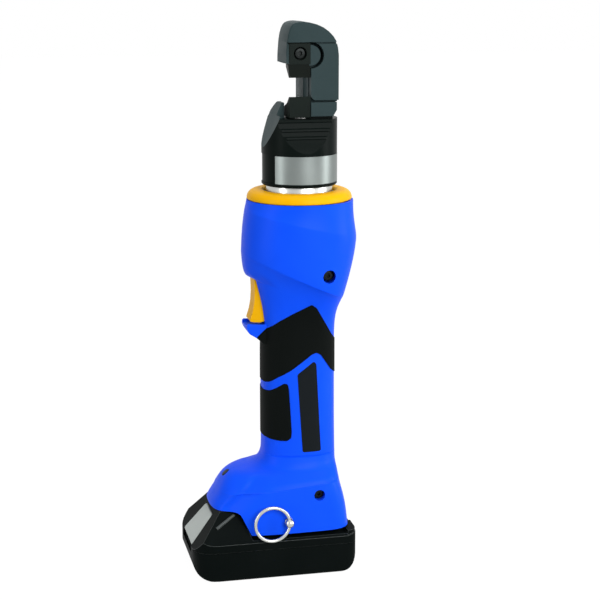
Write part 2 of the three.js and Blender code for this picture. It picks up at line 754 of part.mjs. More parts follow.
function headFrame() {
  const inner = spindleRadius + fit;
  const floor = cylinderTop + fit;
  let collar = upright(collarRadius, collarBottom, shieldTop, 0, 0, 40);
  const wing = sidePlate([
    [-collarRadius - cutOver, shieldTop - wingDrop - cutOver * 2.5],
    [-collarRadius, shieldTop - wingDrop], [-frameFront - shieldDepth * 0.6, shieldTop],
    [-frameFront - shieldDepth * 0.6, shieldTop + cutOver], [-collarRadius - cutOver, shieldTop + cutOver],
  ], -collarRadius - cutOver, collarRadius + cutOver);
  const topCut = block(-frameFront + fit, collarRadius + cutOver, -collarRadius - cutOver,
    collarRadius + cutOver, collarTop, shieldTop + cutOver);
  const recess = new THREE.BoxGeometry(collarRadius * 3, collarRadius, collarRadius * 2);
  recess.translate(0, -collarRadius / 2, collarRadius);
  recess.rotateX(-Math.atan2(recessInset, recessDrop));
  recess.translate(0, -collarRadius, collarTop - recessDrop);
  const recessCut = solid(recess);
  collar = collar.subtract(joined(wing, topCut)).subtract(recessCut).subtract(recessCut.mirror([0, 1, 0]));
  let frame = joined(collar, sidePlate(headOutline(), -frameHalfWidth, frameHalfWidth));
  const bandGroove = upright(collarRadius + cutOver, collarBottom + bandFoot,
    collarBottom + bandFoot + bandHeight)
    .subtract(upright(collarRadius - bandThickness, collarBottom - cutOver, collarTop, 0, 0, 40));
  frame = frame.subtract(bandGroove);
  frame = frame.subtract(joined(
    upright(inner, collarBottom - cutOver, floor, 0, 0, 24),
    upright(spindleRadius + snapWire / 2 + fit, snapBottom - fit, snapBottom + snapWire + fit, 0, 0, 24),
    upright(rodRadius + fit, collarBottom, lowerBladeBottom + ramStroke),
  ));
  const near = -frameHalfWidth - cutOver;
  const cheekBack = -frameHalfWidth + cheekThickness;
  const gapBottom = collarTop + sideBlockLift + sideBlockHeight;
  const bladeRoom = block(-frameFront + fit, cheekFront, near, lowerBladeBack + fit, collarTop,
    lowerEdge + ramStroke);
  const slideRoom = block(throatDepth - cutOver, cheekFront + slideGroove, cheekBack - slideGroove,
    cheekBack, collarTop, throatTop);
  const nearRoom = block(-frameFront - cutOver, cheekFront, near, cheekBack, collarTop,
    upperBladeTop + fit);
  const dieRoom = crossways(dieRadius + cheekGap, near, cheekBack, cheekFront, upperBladeTop - dieDrop, 28);
  const gap = block(cheekFront - cutOver, frameRear + cutOver, near, -frameHalfWidth + cheekGap, gapBottom,
    gapBottom + cheekGap);
  const footGap = block(cheekFront - cutOver, frameRear + cutOver, near, -frameHalfWidth + cheekGap,
    collarTop, collarTop + sideBlockLift);
  const capLine = block(-frameFront - cutOver, frameRear + cutOver, near, -frameHalfWidth + capStep,
    upperBladeTop - capStep, upperBladeTop + fit);
  const screwBore = crossways(bladeScrewRadius + fit, near, cheekBack + bladeScrewLength,
    -bladeScrewSet + cheekFront, upperBladeTop - bladeScrewDrop);
  frame = frame.subtract(joined(bladeRoom, nearRoom, slideRoom, screwBore)).subtract(dieRoom);
  return frame.subtract(joined(gap, footGap)).subtract(capLine);
}
add('head_frame', headFrame(), phosphatedSteel);

function silverBand() {
  const bottom = collarBottom + bandFoot + fit;
  const top = bottom + bandHeight - fit - fit;
  const ring = upright(collarRadius + bandThickness / 2, bottom, top, 0, 0, 40)
    .subtract(upright(collarRadius - bandThickness + fit, collarBottom, collarTop, 0, 0, 40));
  const reach = collarRadius + cutOver;
  const openSector = planPlate([
    [0, 0], [-reach, -reach * 0.86], [-reach, reach], [reach * 0.3, reach],
  ], collarBottom, collarTop);
  return ring.subtract(openSector);
}
add('silver_band', silverBand(), finish(0xc4ccc8, 0.35, 0.9));

// Blades: the upper one is screwed into the frame, the lower one rides on the ram

const bladeFront = cheekFront - bladeWidth;
const bladeNear = -frameHalfWidth + capStep;
const screwX = cheekFront - bladeScrewSet;
const screwZ = upperBladeTop - bladeScrewDrop;

function upperBlade() {
  const shape = new THREE.Shape();
  const back = cheekFront - fit;
  shape.moveTo(bladeFront, upperEdge);
  shape.lineTo(back, upperEdge);
  shape.lineTo(back, upperBladeTop - dieDrop - dieRadius);
  shape.absarc(back, upperBladeTop - dieDrop, dieRadius, -Math.PI / 2, Math.PI / 2, false);
  shape.lineTo(bladeFront, upperBladeTop - dieDrop + dieRadius);
  const far = -frameHalfWidth + cheekThickness - fit;
  const plate = joined(
    sidePlate(shape, bladeNear, far),
    block(bladeFront, back, bladeNear, far, upperBladeTop - dieDrop, upperBladeTop),
  );
  const bevel = block(bladeFront - cutOver, cheekFront + dieRadius, bladeNear + edgeLand, far + cutOver,
    upperEdge - cutOver, upperEdge + bladeHeel);
  const bores = joined(
    crossways(bladeScrewHead + fit, bladeNear - cutOver, bladeNear + counterboreDepth, screwX, screwZ),
    crossways(bladeScrewRadius + fit, bladeNear - cutOver, far + cutOver, screwX, screwZ),
  );
  return plate.subtract(bores).subtract(bevel);
}
add('upper_blade', upperBlade(), blackSteel);

function bladeScrew() {
  const headTop = bladeNear + fit;
  const seat = bladeNear + counterboreDepth - fit;
  const screw = joined(
    crossways(bladeScrewHead, headTop, seat, screwX, screwZ),
    crossways(bladeScrewRadius, seat - fit, seat + bladeScrewLength, screwX, screwZ),
  );
  return screw.subtract(crossways(socketRadius, headTop - cutOver, headTop + socketRadius, screwX, screwZ,
    6));
}
add('upper_blade_screw', bladeScrew(), blackSteel);

function lowerBlade() {
  const near = bladeNear;
  const back = lowerBladeBack;
  const top = lowerEdge;
  const outline = [
    [near, lowerBladeBottom], [back, lowerBladeBottom], [back, lowerBladeBottom + bladeHeel],
    [near + bladeThickness, top - bladeHeel], [near + edgeLand, top], [near, top],
  ];
  const shape = shapeOf(outline.map(([y, z]) => [z, y]));
  const depth = bladeWidth - fit;
  const geometry = new THREE.ExtrudeGeometry(shape, { depth, bevelEnabled: false });
  geometry.rotateY(-Math.PI / 2);
  geometry.translate(cheekFront - fit, 0, 0);
  return solid(geometry);
}
add('lower_blade', lowerBlade(), blackSteel);

// Motor and planetary gear in the handle


function motorCan() {
  const bore = motorShaftRadius + fit;
  return turned([
    [bore, motorBottom], [motorRadius, motorBottom], [motorRadius, motorTop], [bore, motorTop],
    [bore, motorTop - motorWall], [motorRadius - motorWall, motorTop - motorWall],
    [motorRadius - motorWall, motorBottom + motorWall], [bore, motorBottom + motorWall],
  ], 24);
}
add('motor_can', motorCan(), brightSteel);

// Spur gear outline with straight-sided teeth, a tooth pointing along +X
function gearOutline(teeth, tip, root, fullness) {
  const shape = new THREE.Shape();
  const pitch = Math.PI * 2 / teeth;
  for (let i = 0; i < teeth; i += 1) {
    const middle = i * pitch;
    const corners = [[root, -0.34], [tip, -0.17], [tip, 0.17], [root, 0.34]];
    for (const [radius, share] of corners) {
      const angle = middle + share * fullness * pitch;
      const point = [radius * Math.cos(angle), radius * Math.sin(angle)];
      if (shape.curves.length || shape.currentPoint.lengthSq()) shape.lineTo(...point);
      else shape.moveTo(...point);
    }
  }
  shape.closePath();
  return shape;
}

const sunPitch = sunTeeth * gearModule / 2;
const planetPitch = planetTeeth * gearModule / 2;
const planetOrbit = sunPitch + planetPitch;
const ringPitch = sunPitch + planetPitch * 2;
const ringTeeth = sunTeeth + planetTeeth * 2;

function motorRotor() {
  return joined(
    upright(motorShaftRadius, motorBottom - motorLift, gearBottom + fit, 0, 0, 20),
    upright(coreRadius, motorBottom + coreInset, motorTop - coreInset, 0, 0, 24),
    planPlate(gearOutline(sunTeeth, sunPitch + addendum, sunPitch - dedendum, 0.8), gearBottom, gearTop),
  );
}
add('motor_rotor', motorRotor(), copper);

function ringGear() {
  const teeth = planPlate(gearOutline(ringTeeth, ringPitch - addendum, ringPitch + dedendum, 0.8),
    ringGearBottom - cutOver, ringGearTop + cutOver);
  return upright(ringGearRadius, ringGearBottom, ringGearTop, 0, 0, 24).subtract(teeth);
}
add('ring_gear', ringGear(), brightSteel);

const carrierBottom = gearTop + fit;
const carrierTop = carrierBottom + carrierThickness;
const carrierBore = bearingBore - fit;

function planetCarrier() {
  const plate = upright(ringPitch - addendum - fit - fit, carrierBottom, carrierTop)
    .subtract(upright(carrierBore, carrierBottom - cutOver, carrierTop + cutOver));
  const pins = [];
  for (let i = 0; i < planetCount; i += 1) {
    const angle = i * Math.PI * 2 / planetCount;
    pins.push(upright(planetPinRadius, gearBottom, carrierBottom + fit, planetOrbit * Math.cos(angle),
      planetOrbit * Math.sin(angle), 12));
  }
  return joined(plate, ...pins);
}
add('planet_carrier', planetCarrier(), castIron);

for (let i = 0; i < planetCount; i += 1) {
  const angle = i * Math.PI * 2 / planetCount;
  const outline = gearOutline(planetTeeth, planetPitch + addendum, planetPitch - dedendum, 0.8);
  const gear = planPlate(outline, 0, gearFace)
    .subtract(upright(planetPinRadius + fit, -cutOver, gearFace + cutOver, 0, 0, 12));
  const planet = add(`planet_gear_${i + 1}`, gear, brightSteel);
  planet.rotation.z = angle + Math.PI / planetTeeth;
  planet.position.set(planetOrbit * Math.cos(angle), planetOrbit * Math.sin(angle), gearBottom);
}

// Pump: gear case, bearings, eccentric shaft and the iron block that the piston works in

const lowBearingBottom = gearCaseTop - bearingWidth;
const highBearingBottom = camBottom + camHeight + camLift;
const camSweep = camRadius + camRingWall + camOffset + fit + fit;

function gearCase() {
  return upright(ringGearRadius, gearCaseBottom, gearCaseTop, 0, 0, 24)
    .subtract(upright(bearingRadius + fit, lowBearingBottom - fit, gearCaseTop + cutOver))
    .subtract(upright(bearingBore + fit, gearCaseBottom - cutOver, gearCaseTop));
}
add('gear_case', gearCase(), aluminium);

function bearing(bottom) {
  const middle = (bearingBore + bearingRadius) / 2;
  const groove = bearingWidth / 8;
  return turned([
    [bearingBore, bottom], [middle - fit, bottom], [middle - fit, bottom + groove],
    [middle + fit, bottom + groove],
    [middle + fit, bottom], [bearingRadius, bottom], [bearingRadius, bottom + bearingWidth],
    [bearingBore, bottom + bearingWidth],
  ], 16);
}
add('lower_ball_bearing', bearing(lowBearingBottom), brightSteel);
add('upper_ball_bearing', bearing(highBearingBottom), brightSteel);

function eccentricShaft() {
  const end = highBearingBottom + bearingWidth;
  return joined(
    upright(carrierBore - fit, carrierBottom, end, 0, 0, 24),
    upright(camRadius, camBottom, camBottom + camHeight, camOffset, 0, 20),
  );
}
add('eccentric_shaft', eccentricShaft(), blackSteel);

function camRing() {
  return upright(camRadius + camRingWall, camBottom, camBottom + camHeight, camOffset, 0, 20)
    .subtract(upright(camRadius + fit, camBottom - cutOver, camBottom + camHeight + cutOver, camOffset, 0,
      20));
}
add('eccentric_bearing', camRing(), brightSteel);

const pistonFront = camRadius + camRingWall + camOffset + fit;
const pistonBack = pistonFront + pumpPistonLength;
const plugFront = pumpBossReach - pumpPlugLength;
const pumpSpringStart = plugFront - fit - pumpSpringLength;

function pumpBlock() {
  const boss = block(0, pumpBossReach, -pumpBossHalf, pumpBossHalf, camMiddle - pumpBossHalf,
    camMiddle + pumpBossHalf);
  const outside = joined(
    upright(pumpSkirtRadius, pumpBottom, pumpSkirtTop, 0, 0, 24),
    upright(pumpHeadRadius, pumpSkirtTop, pumpTop, 0, 0, 36),
    boss,
  );
  const threads = crossways(screwShankRadius + fit, pumpFlank - screwThreadLength, pumpHeadRadius + cutOver,
    bodyScrewRear, bodyScrewZ, 16);
  return outside.subtract(joined(
    upright(camSweep, pumpBottom - cutOver, highBearingBottom - fit - fit),
    upright(bearingRadius + fit, pumpBottom, highBearingBottom + bearingWidth + fit),
    lengthways(pumpPistonRadius + fit, 0, pumpBossReach + cutOver, 0, camMiddle, 20),
    crossways(reliefRadius + fit, pumpHeadRadius - reliefLength, pumpHeadRadius + cutOver, 0, bodyScrewZ),
    threads,
    threads.mirror([0, 1, 0]),
  ));
}
add('pump_block', pumpBlock(), castIron);
add('pump_piston', lengthways(pumpPistonRadius, pistonFront, pistonBack, 0, camMiddle, 20), brightSteel);
add('pump_plug', lengthways(pumpPistonRadius, plugFront, pumpBossReach, 0, camMiddle, 20), brass);
const pumpSpring = add('pump_spring', coil(pumpPistonRadius - pumpSpringWire, pumpSpringWire,
  pumpSpringLength, pumpSpringTurns), springSteel);
pumpSpring.rotation.y = Math.PI / 2;
pumpSpring.position.set(pumpSpringStart, 0, camMiddle);
add('relief_valve', crossways(reliefRadius, pumpHeadRadius - reliefLength + fit, pumpHeadRadius, 0,
  bodyScrewZ), brass);

function oilBladder() {
  const inner = cylinderRadius + fit;
  const outer = inner + bladderThickness;
  const open = Math.PI * bladderOpenShare;
  const shape = new THREE.Shape();
  shape.absarc(0, 0, outer, -Math.PI + open, Math.PI - open, false);
  shape.absarc(0, 0, inner, Math.PI - open, -Math.PI + open, true);
  return planPlate(shape, cylinderBottom, cylinderBottom + bladderHeight);
}
add('oil_bladder', oilBladder(), blackRubber);

// Trigger with its pin, spring and switch

const triggerBack = -pivotX - triggerPinRadius + fit;

function trigger() {
  const x = -triggerReach;
  const foot = triggerFoot + fit;
  const rise = triggerTop - foot;
  const shape = new THREE.Shape();
  shape.moveTo(-triggerBack, foot + rise * 0.08);
  shape.quadraticCurveTo(-triggerBack - triggerThickness, foot, -triggerBack - triggerThickness * 2, foot);
  shape.lineTo(x, foot + rise * 0.06);
  shape.quadraticCurveTo(x + triggerThickness, foot + rise * 0.4, x + triggerThickness, triggerTop);
  shape.lineTo(pivotX, triggerTop);
  shape.lineTo(-triggerBack, pivotZ);
  const pinHole = crossways(triggerPinRadius + fit, -triggerHalfWidth - cutOver, triggerHalfWidth + cutOver,
    pivotX, pivotZ);
  return sidePlate(shape, -triggerHalfWidth, triggerHalfWidth).subtract(pinHole);
}
add('trigger', trigger(), yellowPlastic);
const pinHalf = gripHalfWidth / 2 - fit;
add('trigger_pin', crossways(triggerPinRadius, -pinHalf, pinHalf, pivotX, pivotZ), brightSteel);

const switchFront = triggerBack - triggerThickness / 2;
const switchTop = pivotZ - triggerThickness;

function coiledAlong(name, radius, wire, length, turns, place, turn) {
  const spring = add(name, coil(radius, wire, length, turns), springSteel);
  spring.position.set(...place);
  spring.rotation.y = turn;
}

add('microswitch', block(-pumpSkirtRadius - fit - switchDepth, -pumpSkirtRadius - fit, -switchHalfWidth,
  switchHalfWidth, switchTop - switchHeight, switchTop), blackPlastic);
const triggerSpringLength = switchFront - pumpSkirtRadius - fit + triggerThickness / 2 - fit;
coiledAlong('trigger_spring', triggerSpringRadius, triggerSpringWire, triggerSpringLength,
  triggerSpringTurns,
  [-triggerBack + fit / 2, 0, triggerFoot + triggerSpringRadius + triggerThickness], Math.PI / 2);

// Electronics in the base

const terminalBottom = batteryRimHeight + rearHumpHeight + fit + fit;
const terminalTop = terminalBottom + terminalHeight;
const boardBottom = terminalTop + fit;

add('terminal_block', block(-terminalFront, terminalRear, -terminalHalfWidth, terminalHalfWidth,
  terminalBottom, terminalTop), blackPlastic);
const boardRear = baseScrewRear - screwWellRadius - housingWall;
add('control_board', block(-boardFront, boardRear, -boardHalfWidth, boardHalfWidth, boardBottom,
  boardBottom + boardThickness), boardGreen);
add('status_lens', lensPlug(lensRadius, -fit, lensDepth), clearLens);

// Screws that hold the shells together and to the pump

function screw(x, z, seat, shank) {
  const whole = joined(
    crossways(screwHeadRadius, seat + fit, seat + fit + screwHeadHeight, x, z, 24),
    crossways(screwShankRadius, seat - shank, seat + fit + fit, x, z, 12),
  );
  const top = seat + fit + screwHeadHeight;
  return whole.subtract(crossways(socketRadius, top - socketRadius, top + cutOver, x, z, 6));
}
const bodyShank = bodyScrewSeat - pumpFlank + screwThreadLength - fit;
add('body_screw_right', screw(bodyScrewRear, bodyScrewZ, bodyScrewSeat, bodyShank), blackSteel);
add('body_screw_left', screw(bodyScrewRear, bodyScrewZ, bodyScrewSeat, bodyShank).mirror([0, 1, 0]),
  blackSteel);
add('base_screw', screw(baseScrewRear, baseScrewZ, baseScrewSeat, baseScrewSeat + baseScrewLength / 2 - fit)
  .mirror([0, 1, 0]), blackSteel);

// Lanyard ring in a ball-headed eyelet that turns in the side of the base

const eyeletZ = baseBottom + eyeletLift;
const sideAtEyelet = baseHalfWidth;
const ringMiddleY = -sideAtEyelet - eyeletStandOff;

function eyelet() {
  const ball = new THREE.SphereGeometry(eyeletBall, 14, 8);
  ball.translate(-eyeletFront, ringMiddleY, eyeletZ);
  const stem = crossways(eyeletStem, ringMiddleY, -sideAtEyelet + housingWall * 2, -eyeletFront, eyeletZ);
  const flangeFace = -sideAtEyelet + housingWall + fit * 4;
  const flange = crossways(eyeletStem + housingWall / 2, flangeFace, flangeFace + housingWall,
    -eyeletFront, eyeletZ);
  return joined(solid(ball), stem, flange)
    .subtract(upright(eyeletHole, eyeletZ - eyeletBall - cutOver, eyeletZ + eyeletBall + cutOver,
      -eyeletFront, ringMiddleY, 16));
}
add('ring_eyelet', eyelet(), brightSteel);

function lanyardRing() {
  const geometry = new THREE.TorusGeometry(lanyardRadius, lanyardWire / 2, 6, 28);
  geometry.rotateX(Math.PI / 2);
  geometry.translate(-eyeletFront - lanyardRadius, ringMiddleY, eyeletZ);
  return solid(geometry);
}
add('lanyard_ring', lanyardRing(), brightSteel);

// Battery: two case halves with five cells between them

function batteryPlan(inset) {
  const front = -batteryFront + inset;
  const rear = batteryRear - inset;
  const half = batteryHalfWidth - inset;
  const big = batteryCorner * 2;
  const small = batteryCorner * 0.7;
  const shape = new THREE.Shape();
  shape.moveTo(front, -half + big);
  shape.quadraticCurveTo(front, -half, front + big, -half);
  shape.lineTo(rear - small, -half);
  shape.quadraticCurveTo(rear, -half, rear, -half + small);
  shape.lineTo(rear, half - small);
  shape.quadraticCurveTo(rear, half, rear - small, half);
  shape.lineTo(front + big, half);
  shape.quadraticCurveTo(front, half, front, half - big);
  return shape;
}

function lowerCaseSide() {
  const shape = new THREE.Shape();
  shape.moveTo(-batteryFlatFront, 0);
  shape.lineTo(batteryFlatRear, 0);
  shape.quadraticCurveTo(batteryRear - fit, 0, batteryRear - fit, batteryHeelHeight);
  shape.lineTo(batteryRear, batteryLowerHeight);
  shape.lineTo(-batteryFront, batteryLowerHeight);
  shape.quadraticCurveTo(-batteryFront, batteryToeHeight, -batteryFront * 0.93, batteryToeHeight * 0.55);
  shape.quadraticCurveTo(-batteryFront * 0.84, 0, -batteryFlatFront, 0);
  return shape;
}

const cellRoom = cellRadius + fit;
const cellZ = batteryWall + cellRoom;
const lastCellX = batteryRear - batteryWall - fit - cellRoom;
const firstCellX = lastCellX - cellPitch * (cellCount - 1);
const insideHalf = batteryHalfWidth - batteryWall;

function lowerCase() {
  const outside = sidePlate(lowerCaseSide(), -batteryHalfWidth, batteryHalfWidth)
    .intersect(planPlate(batteryPlan(0), -cutOver, batteryLowerHeight + cutOver));
  const over = batteryLowerHeight + cutOver;
  return outside.subtract(joined(
    block(firstCellX - cellRoom, lastCellX, -insideHalf, insideHalf, batteryWall, over),
    crossways(cellRoom, -insideHalf, insideHalf, lastCellX, cellZ, 28),
    block(lastCellX, lastCellX + cellRoom, -insideHalf, insideHalf, cellZ, over),
  ));
}
add('battery_lower_case', lowerCase(), blackPlastic);

const caseBottom = batteryLowerHeight + fit;
const noseSlope = Math.atan2(noseHeight - caseBottom, batteryFront - noseTopFront);
const slopeLength = Math.hypot(noseHeight - caseBottom, batteryFront - noseTopFront);
const buttonRoomLow = buttonSill - slopeLength / 2;
const buttonRoomHigh = slopeLength / 2 - buttonHeadRoom;
const buttonLow = buttonRoomLow + buttonTravel + fit;
const buttonHigh = buttonRoomHigh - fit;
const slopeMiddleX = -(batteryFront + noseTopFront) / 2;
const slopeMiddleZ = (noseHeight + caseBottom) / 2;

// Block on the sloping front of the battery, given along the slope and by its depth below it
function slopeBlock(low, upper, half, outside, inside) {
  const geometry = new THREE.BoxGeometry(upper - low, half * 2, inside - outside);
  geometry.translate((upper + low) / 2, 0, -(outside + inside) / 2);
  geometry.rotateY(-noseSlope);
  geometry.translate(slopeMiddleX, 0, slopeMiddleZ);
  return solid(geometry);
}

function upperCase() {
  const half = batteryHalfWidth;
  const side = sidePlate([
    [-batteryFront, caseBottom], [batteryRear, caseBottom], [batteryRear, batteryRimHeight],
    [-noseFootRear - fit, batteryRimHeight], [-noseTopRear - fit, noseHeight], [-noseTopFront, noseHeight],
  ], -half, half);
  const shoulders = shapeOf([
    [caseBottom, -half], [batteryRimHeight, -half], [noseHeight, -noseHalfWidth],
    [noseHeight, noseHalfWidth], [batteryRimHeight, half], [caseBottom, half],
  ]);
  const length = batteryFront + batteryRear + cutOver * 2;
  const across = new THREE.ExtrudeGeometry(shoulders, { depth: length, bevelEnabled: false });
  across.rotateY(-Math.PI / 2);
  across.translate(batteryRear + cutOver, 0, 0);
  const outside = side.intersect(solid(across)).intersect(planPlate(batteryPlan(0), 0,
    noseHeight + cutOver));
  const railTop = batteryRimHeight + railHeight;
  const railRear = railLength - noseFootRear;
  const rails = [-1, 1].map((way) => {
    const outer = way * railOuterHalf;
    const inner = way * (railOuterHalf - railWidth);
    return block(-noseFootRear - fit, railRear, Math.min(outer, inner), Math.max(outer, inner),
      batteryRimHeight - batteryWall, railTop);
  });
  const hump = block(batteryRear - rearHumpDepth, batteryRear, -railOuterHalf + fit, railOuterHalf - fit,
    batteryRimHeight - batteryWall, batteryRimHeight + rearHumpHeight);
  const inside = block(firstCellX - cellRoom, lastCellX + cellRoom, -insideHalf, insideHalf,
    caseBottom - cutOver, batteryRimHeight - batteryWall);
  const buttonRoom = slopeBlock(buttonRoomLow, buttonRoomHigh, buttonHalfWidth + fit, -cutOver,
    buttonThickness + fit);
  return joined(outside, ...rails, hump).subtract(inside).subtract(buttonRoom);
}
add('battery_upper_case', upperCase(), blackPlastic);

function batteryButton() {
  const plate = slopeBlock(buttonLow, buttonHigh, buttonHalfWidth, 0, buttonThickness);
  const ridge = slopeBlock(buttonHigh - buttonEdge, buttonHigh, buttonHalfWidth, -buttonEdge / 4, fit);
  const travelRoom = block(-batteryFront - cutOver, 0, -batteryHalfWidth, batteryHalfWidth, 0,
    batteryLowerHeight + fit + buttonTravel);
  return joined(plate, ridge).subtract(travelRoom);
}
add('battery_button', batteryButton(), greyPlastic);

for (let i = 0; i < cellCount; i += 1) {
  const x = firstCellX + cellPitch * i;
  const cell = joined(
    crossways(cellRadius, -cellLength / 2, cellLength / 2, x, cellZ, 16),
    crossways(cellPoleRadius, cellLength / 2 - fit, cellLength / 2 + cellPoleHeight, x, cellZ, 12),
  );
  add(`cell_${i + 1}`, cell, cellWrap);
}

export default body;
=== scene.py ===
"""Cordless hydraulic cutter with a slide-on battery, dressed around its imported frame."""
import json
import math
import bmesh
import bpy
from mathutils import Matrix, Vector

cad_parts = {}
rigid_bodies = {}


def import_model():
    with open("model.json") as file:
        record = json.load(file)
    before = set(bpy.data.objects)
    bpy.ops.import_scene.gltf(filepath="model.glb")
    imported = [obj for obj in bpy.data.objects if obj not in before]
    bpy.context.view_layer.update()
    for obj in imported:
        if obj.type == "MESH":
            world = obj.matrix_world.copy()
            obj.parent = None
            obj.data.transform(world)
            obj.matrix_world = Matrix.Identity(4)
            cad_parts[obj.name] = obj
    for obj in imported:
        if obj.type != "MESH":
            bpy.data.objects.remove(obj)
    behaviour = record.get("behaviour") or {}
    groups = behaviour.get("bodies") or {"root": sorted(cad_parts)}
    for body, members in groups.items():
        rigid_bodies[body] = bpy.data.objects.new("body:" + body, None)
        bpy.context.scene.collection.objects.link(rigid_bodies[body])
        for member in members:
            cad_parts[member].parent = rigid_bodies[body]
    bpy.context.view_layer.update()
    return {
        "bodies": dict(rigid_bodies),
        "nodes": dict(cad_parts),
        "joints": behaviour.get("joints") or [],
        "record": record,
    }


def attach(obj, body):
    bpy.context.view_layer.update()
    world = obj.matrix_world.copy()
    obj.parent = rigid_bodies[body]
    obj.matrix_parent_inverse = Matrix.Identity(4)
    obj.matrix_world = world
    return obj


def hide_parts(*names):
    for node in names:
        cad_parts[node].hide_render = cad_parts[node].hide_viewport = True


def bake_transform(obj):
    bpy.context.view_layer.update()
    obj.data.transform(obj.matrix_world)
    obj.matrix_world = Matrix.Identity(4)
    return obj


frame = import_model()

mm = 0.001

# The camera looks at the ring side of the tool from a little toward its front and above,
# from the place that the photograph was taken from.
camera_turn = math.radians(12.6)
camera_dip = math.radians(12.53)
camera_distance = 1066 * mm
camera_aim = Vector((0.6 * mm, 0, 190.6 * mm))
focal_pixels = 1521
photo_pixels = 600
sensor_width = 36

ahead = Vector((math.sin(camera_turn) * math.cos(camera_dip), math.cos(camera_turn) * math.cos(camera_dip),
                -math.sin(camera_dip)))
camera_data = bpy.data.cameras.new("photo_camera")
camera_data.sensor_width = sensor_width
camera_data.lens = focal_pixels / photo_pixels * sensor_width
camera = bpy.data.objects.new("photo_camera", camera_data)
camera.location = camera_aim - ahead * camera_distance
camera.rotation_euler = ahead.to_track_quat("-Z", "Y").to_euler()
bpy.context.scene.collection.objects.link(camera)
bpy.context.scene.camera = camera
bpy.context.scene.view_settings.view_transform = "Standard"


# Soft studio light: a large lamp in front, weaker ones to the right, to the left and above, and
# a pale world.
def softbox(name, place, aim, size, power):
    lamp = bpy.data.lights.new(name, "AREA")
    lamp.shape = "RECTANGLE"
    lamp.size, lamp.size_y = size
    lamp.energy = power
    piece = bpy.data.objects.new(name, lamp)
    piece.location = place
    piece.rotation_euler = (Vector(aim) - Vector(place)).to_track_quat("-Z", "Y").to_euler()
    bpy.context.scene.collection.objects.link(piece)


tool_middle = (0, 0, 0.19)
softbox("softbox_front", (0.45, -1.4, 0.85), tool_middle, (0.8, 1), 20)
softbox("softbox_right", (1.5, -0.4, 0.5), tool_middle, (0.5, 1.2), 13)
softbox("softbox_left", (-1.4, -0.5, 0.5), tool_middle, (0.3, 1.1), 7)
softbox("softbox_top", (0.1, 0.2, 1.7), tool_middle, (0.9, 0.9), 12)


def shows_to_camera(nodes, links):
    """Mask that is 1 for rays that show the background itself"""
    path = nodes.new("ShaderNodeLightPath")
    first = nodes.new("ShaderNodeMath")
    first.operation = "MAXIMUM"
    links.new(path.outputs["Is Camera Ray"], first.inputs[0])
    links.new(path.outputs["Is Glossy Ray"], first.inputs[1])
    second = nodes.new("ShaderNodeMath")
    second.operation = "MAXIMUM"
    links.new(first.outputs[0], second.inputs[0])
    links.new(path.outputs["Is Transmission Ray"], second.inputs[1])
    return second.outputs[0]


world = bpy.data.worlds.new("pale_room")
bpy.context.scene.world = world
world.use_nodes = True
room = world.node_tree
room_light = room.nodes["Background"]
room_light.inputs["Color"].default_value = (0.93, 0.95, 1.0, 1)
room_light.inputs["Strength"].default_value = 0.27
room_seen = room.nodes.new("ShaderNodeBackground")
room_seen.inputs["Color"].default_value = (1, 1, 1, 1)
room_seen.inputs["Strength"].default_value = 1
room_mix = room.nodes.new("ShaderNodeMixShader")
room.links.new(shows_to_camera(room.nodes, room.links), room_mix.inputs["Fac"])
room.links.new(room_light.outputs[0], room_mix.inputs[1])
room.links.new(room_seen.outputs[0], room_mix.inputs[2])
room.links.new(room_mix.outputs[0], room.nodes["World Output"].inputs["Surface"])


# White floor under the tool, which keeps the tool's soft shadow.
floor_half = 6.0
floor_shape = bmesh.new()
bmesh.ops.create_grid(floor_shape, x_segments=1, y_segments=1, size=floor_half)
floor_mesh = bpy.data.meshes.new("floor")
floor_shape.to_mesh(floor_mesh)
floor = bpy.data.objects.new("floor", floor_mesh)
bpy.context.scene.collection.objects.link(floor)
floor_paint = bpy.data.materials.new("white_floor")
floor_paint.use_nodes = True
floor_tree = floor_paint.node_tree
floor_board = floor_tree.nodes["Principled BSDF"]
floor_board.inputs["Base Color"].default_value = (0.4, 0.4, 0.4, 1)
floor_board.inputs["Roughness"].default_value = 0.9
floor_glow = floor_tree.nodes.new("ShaderNodeEmission")
floor_glow.inputs["Color"].default_value = (1, 1, 1, 1)
floor_glow.inputs["Strength"].default_value = 1.15
floor_mix = floor_tree.nodes.new("ShaderNodeMixShader")
floor_share = floor_tree.nodes.new("ShaderNodeMath")
floor_share.operation = "MULTIPLY"
floor_share.inputs[1].default_value = 0.85
floor_tree.links.new(shows_to_camera(floor_tree.nodes, floor_tree.links), floor_share.inputs[0])
floor_tree.links.new(floor_share.outputs[0], floor_mix.inputs["Fac"])
floor_tree.links.new(floor_board.outputs[0], floor_mix.inputs[1])
floor_tree.links.new(floor_glow.outputs[0], floor_mix.inputs[2])
floor_tree.links.new(floor_mix.outputs[0], floor_tree.nodes["Material Output"].inputs["Surface"])
floor_mesh.materials.append(floor_paint)


# Blue housing: two moulded shells that meet along the middle of the tool, with a soft crease
# above and below the swelling, a slot for the trigger, screw wells and an open foot.
def new_group(name, numbers, outputs):
    group = bpy.data.node_groups.new(name, "ShaderNodeTree")
    for label, value in numbers:
        socket = group.interface.new_socket(label, in_out="INPUT", socket_type="NodeSocketFloat")
        socket.default_value = value
    for label, kind in outputs:
        group.interface.new_socket(label, in_out="OUTPUT", socket_type=kind)
    start = group.nodes.new("NodeGroupInput")
    end = group.nodes.new("NodeGroupOutput")
    place = group.nodes.new("ShaderNodeTexCoord")
    return group, start, end, place


def maths(tree, operation, first, second, third=None):
    node = tree.nodes.new("ShaderNodeMath")
    node.operation = operation
    for socket, value in zip(node.inputs, (first, second, third)):
        if value is None:
            continue
        if isinstance(value, (int, float)):
            socket.default_value = value
        else:
            tree.links.new(value, socket)
    return node.outputs[0]


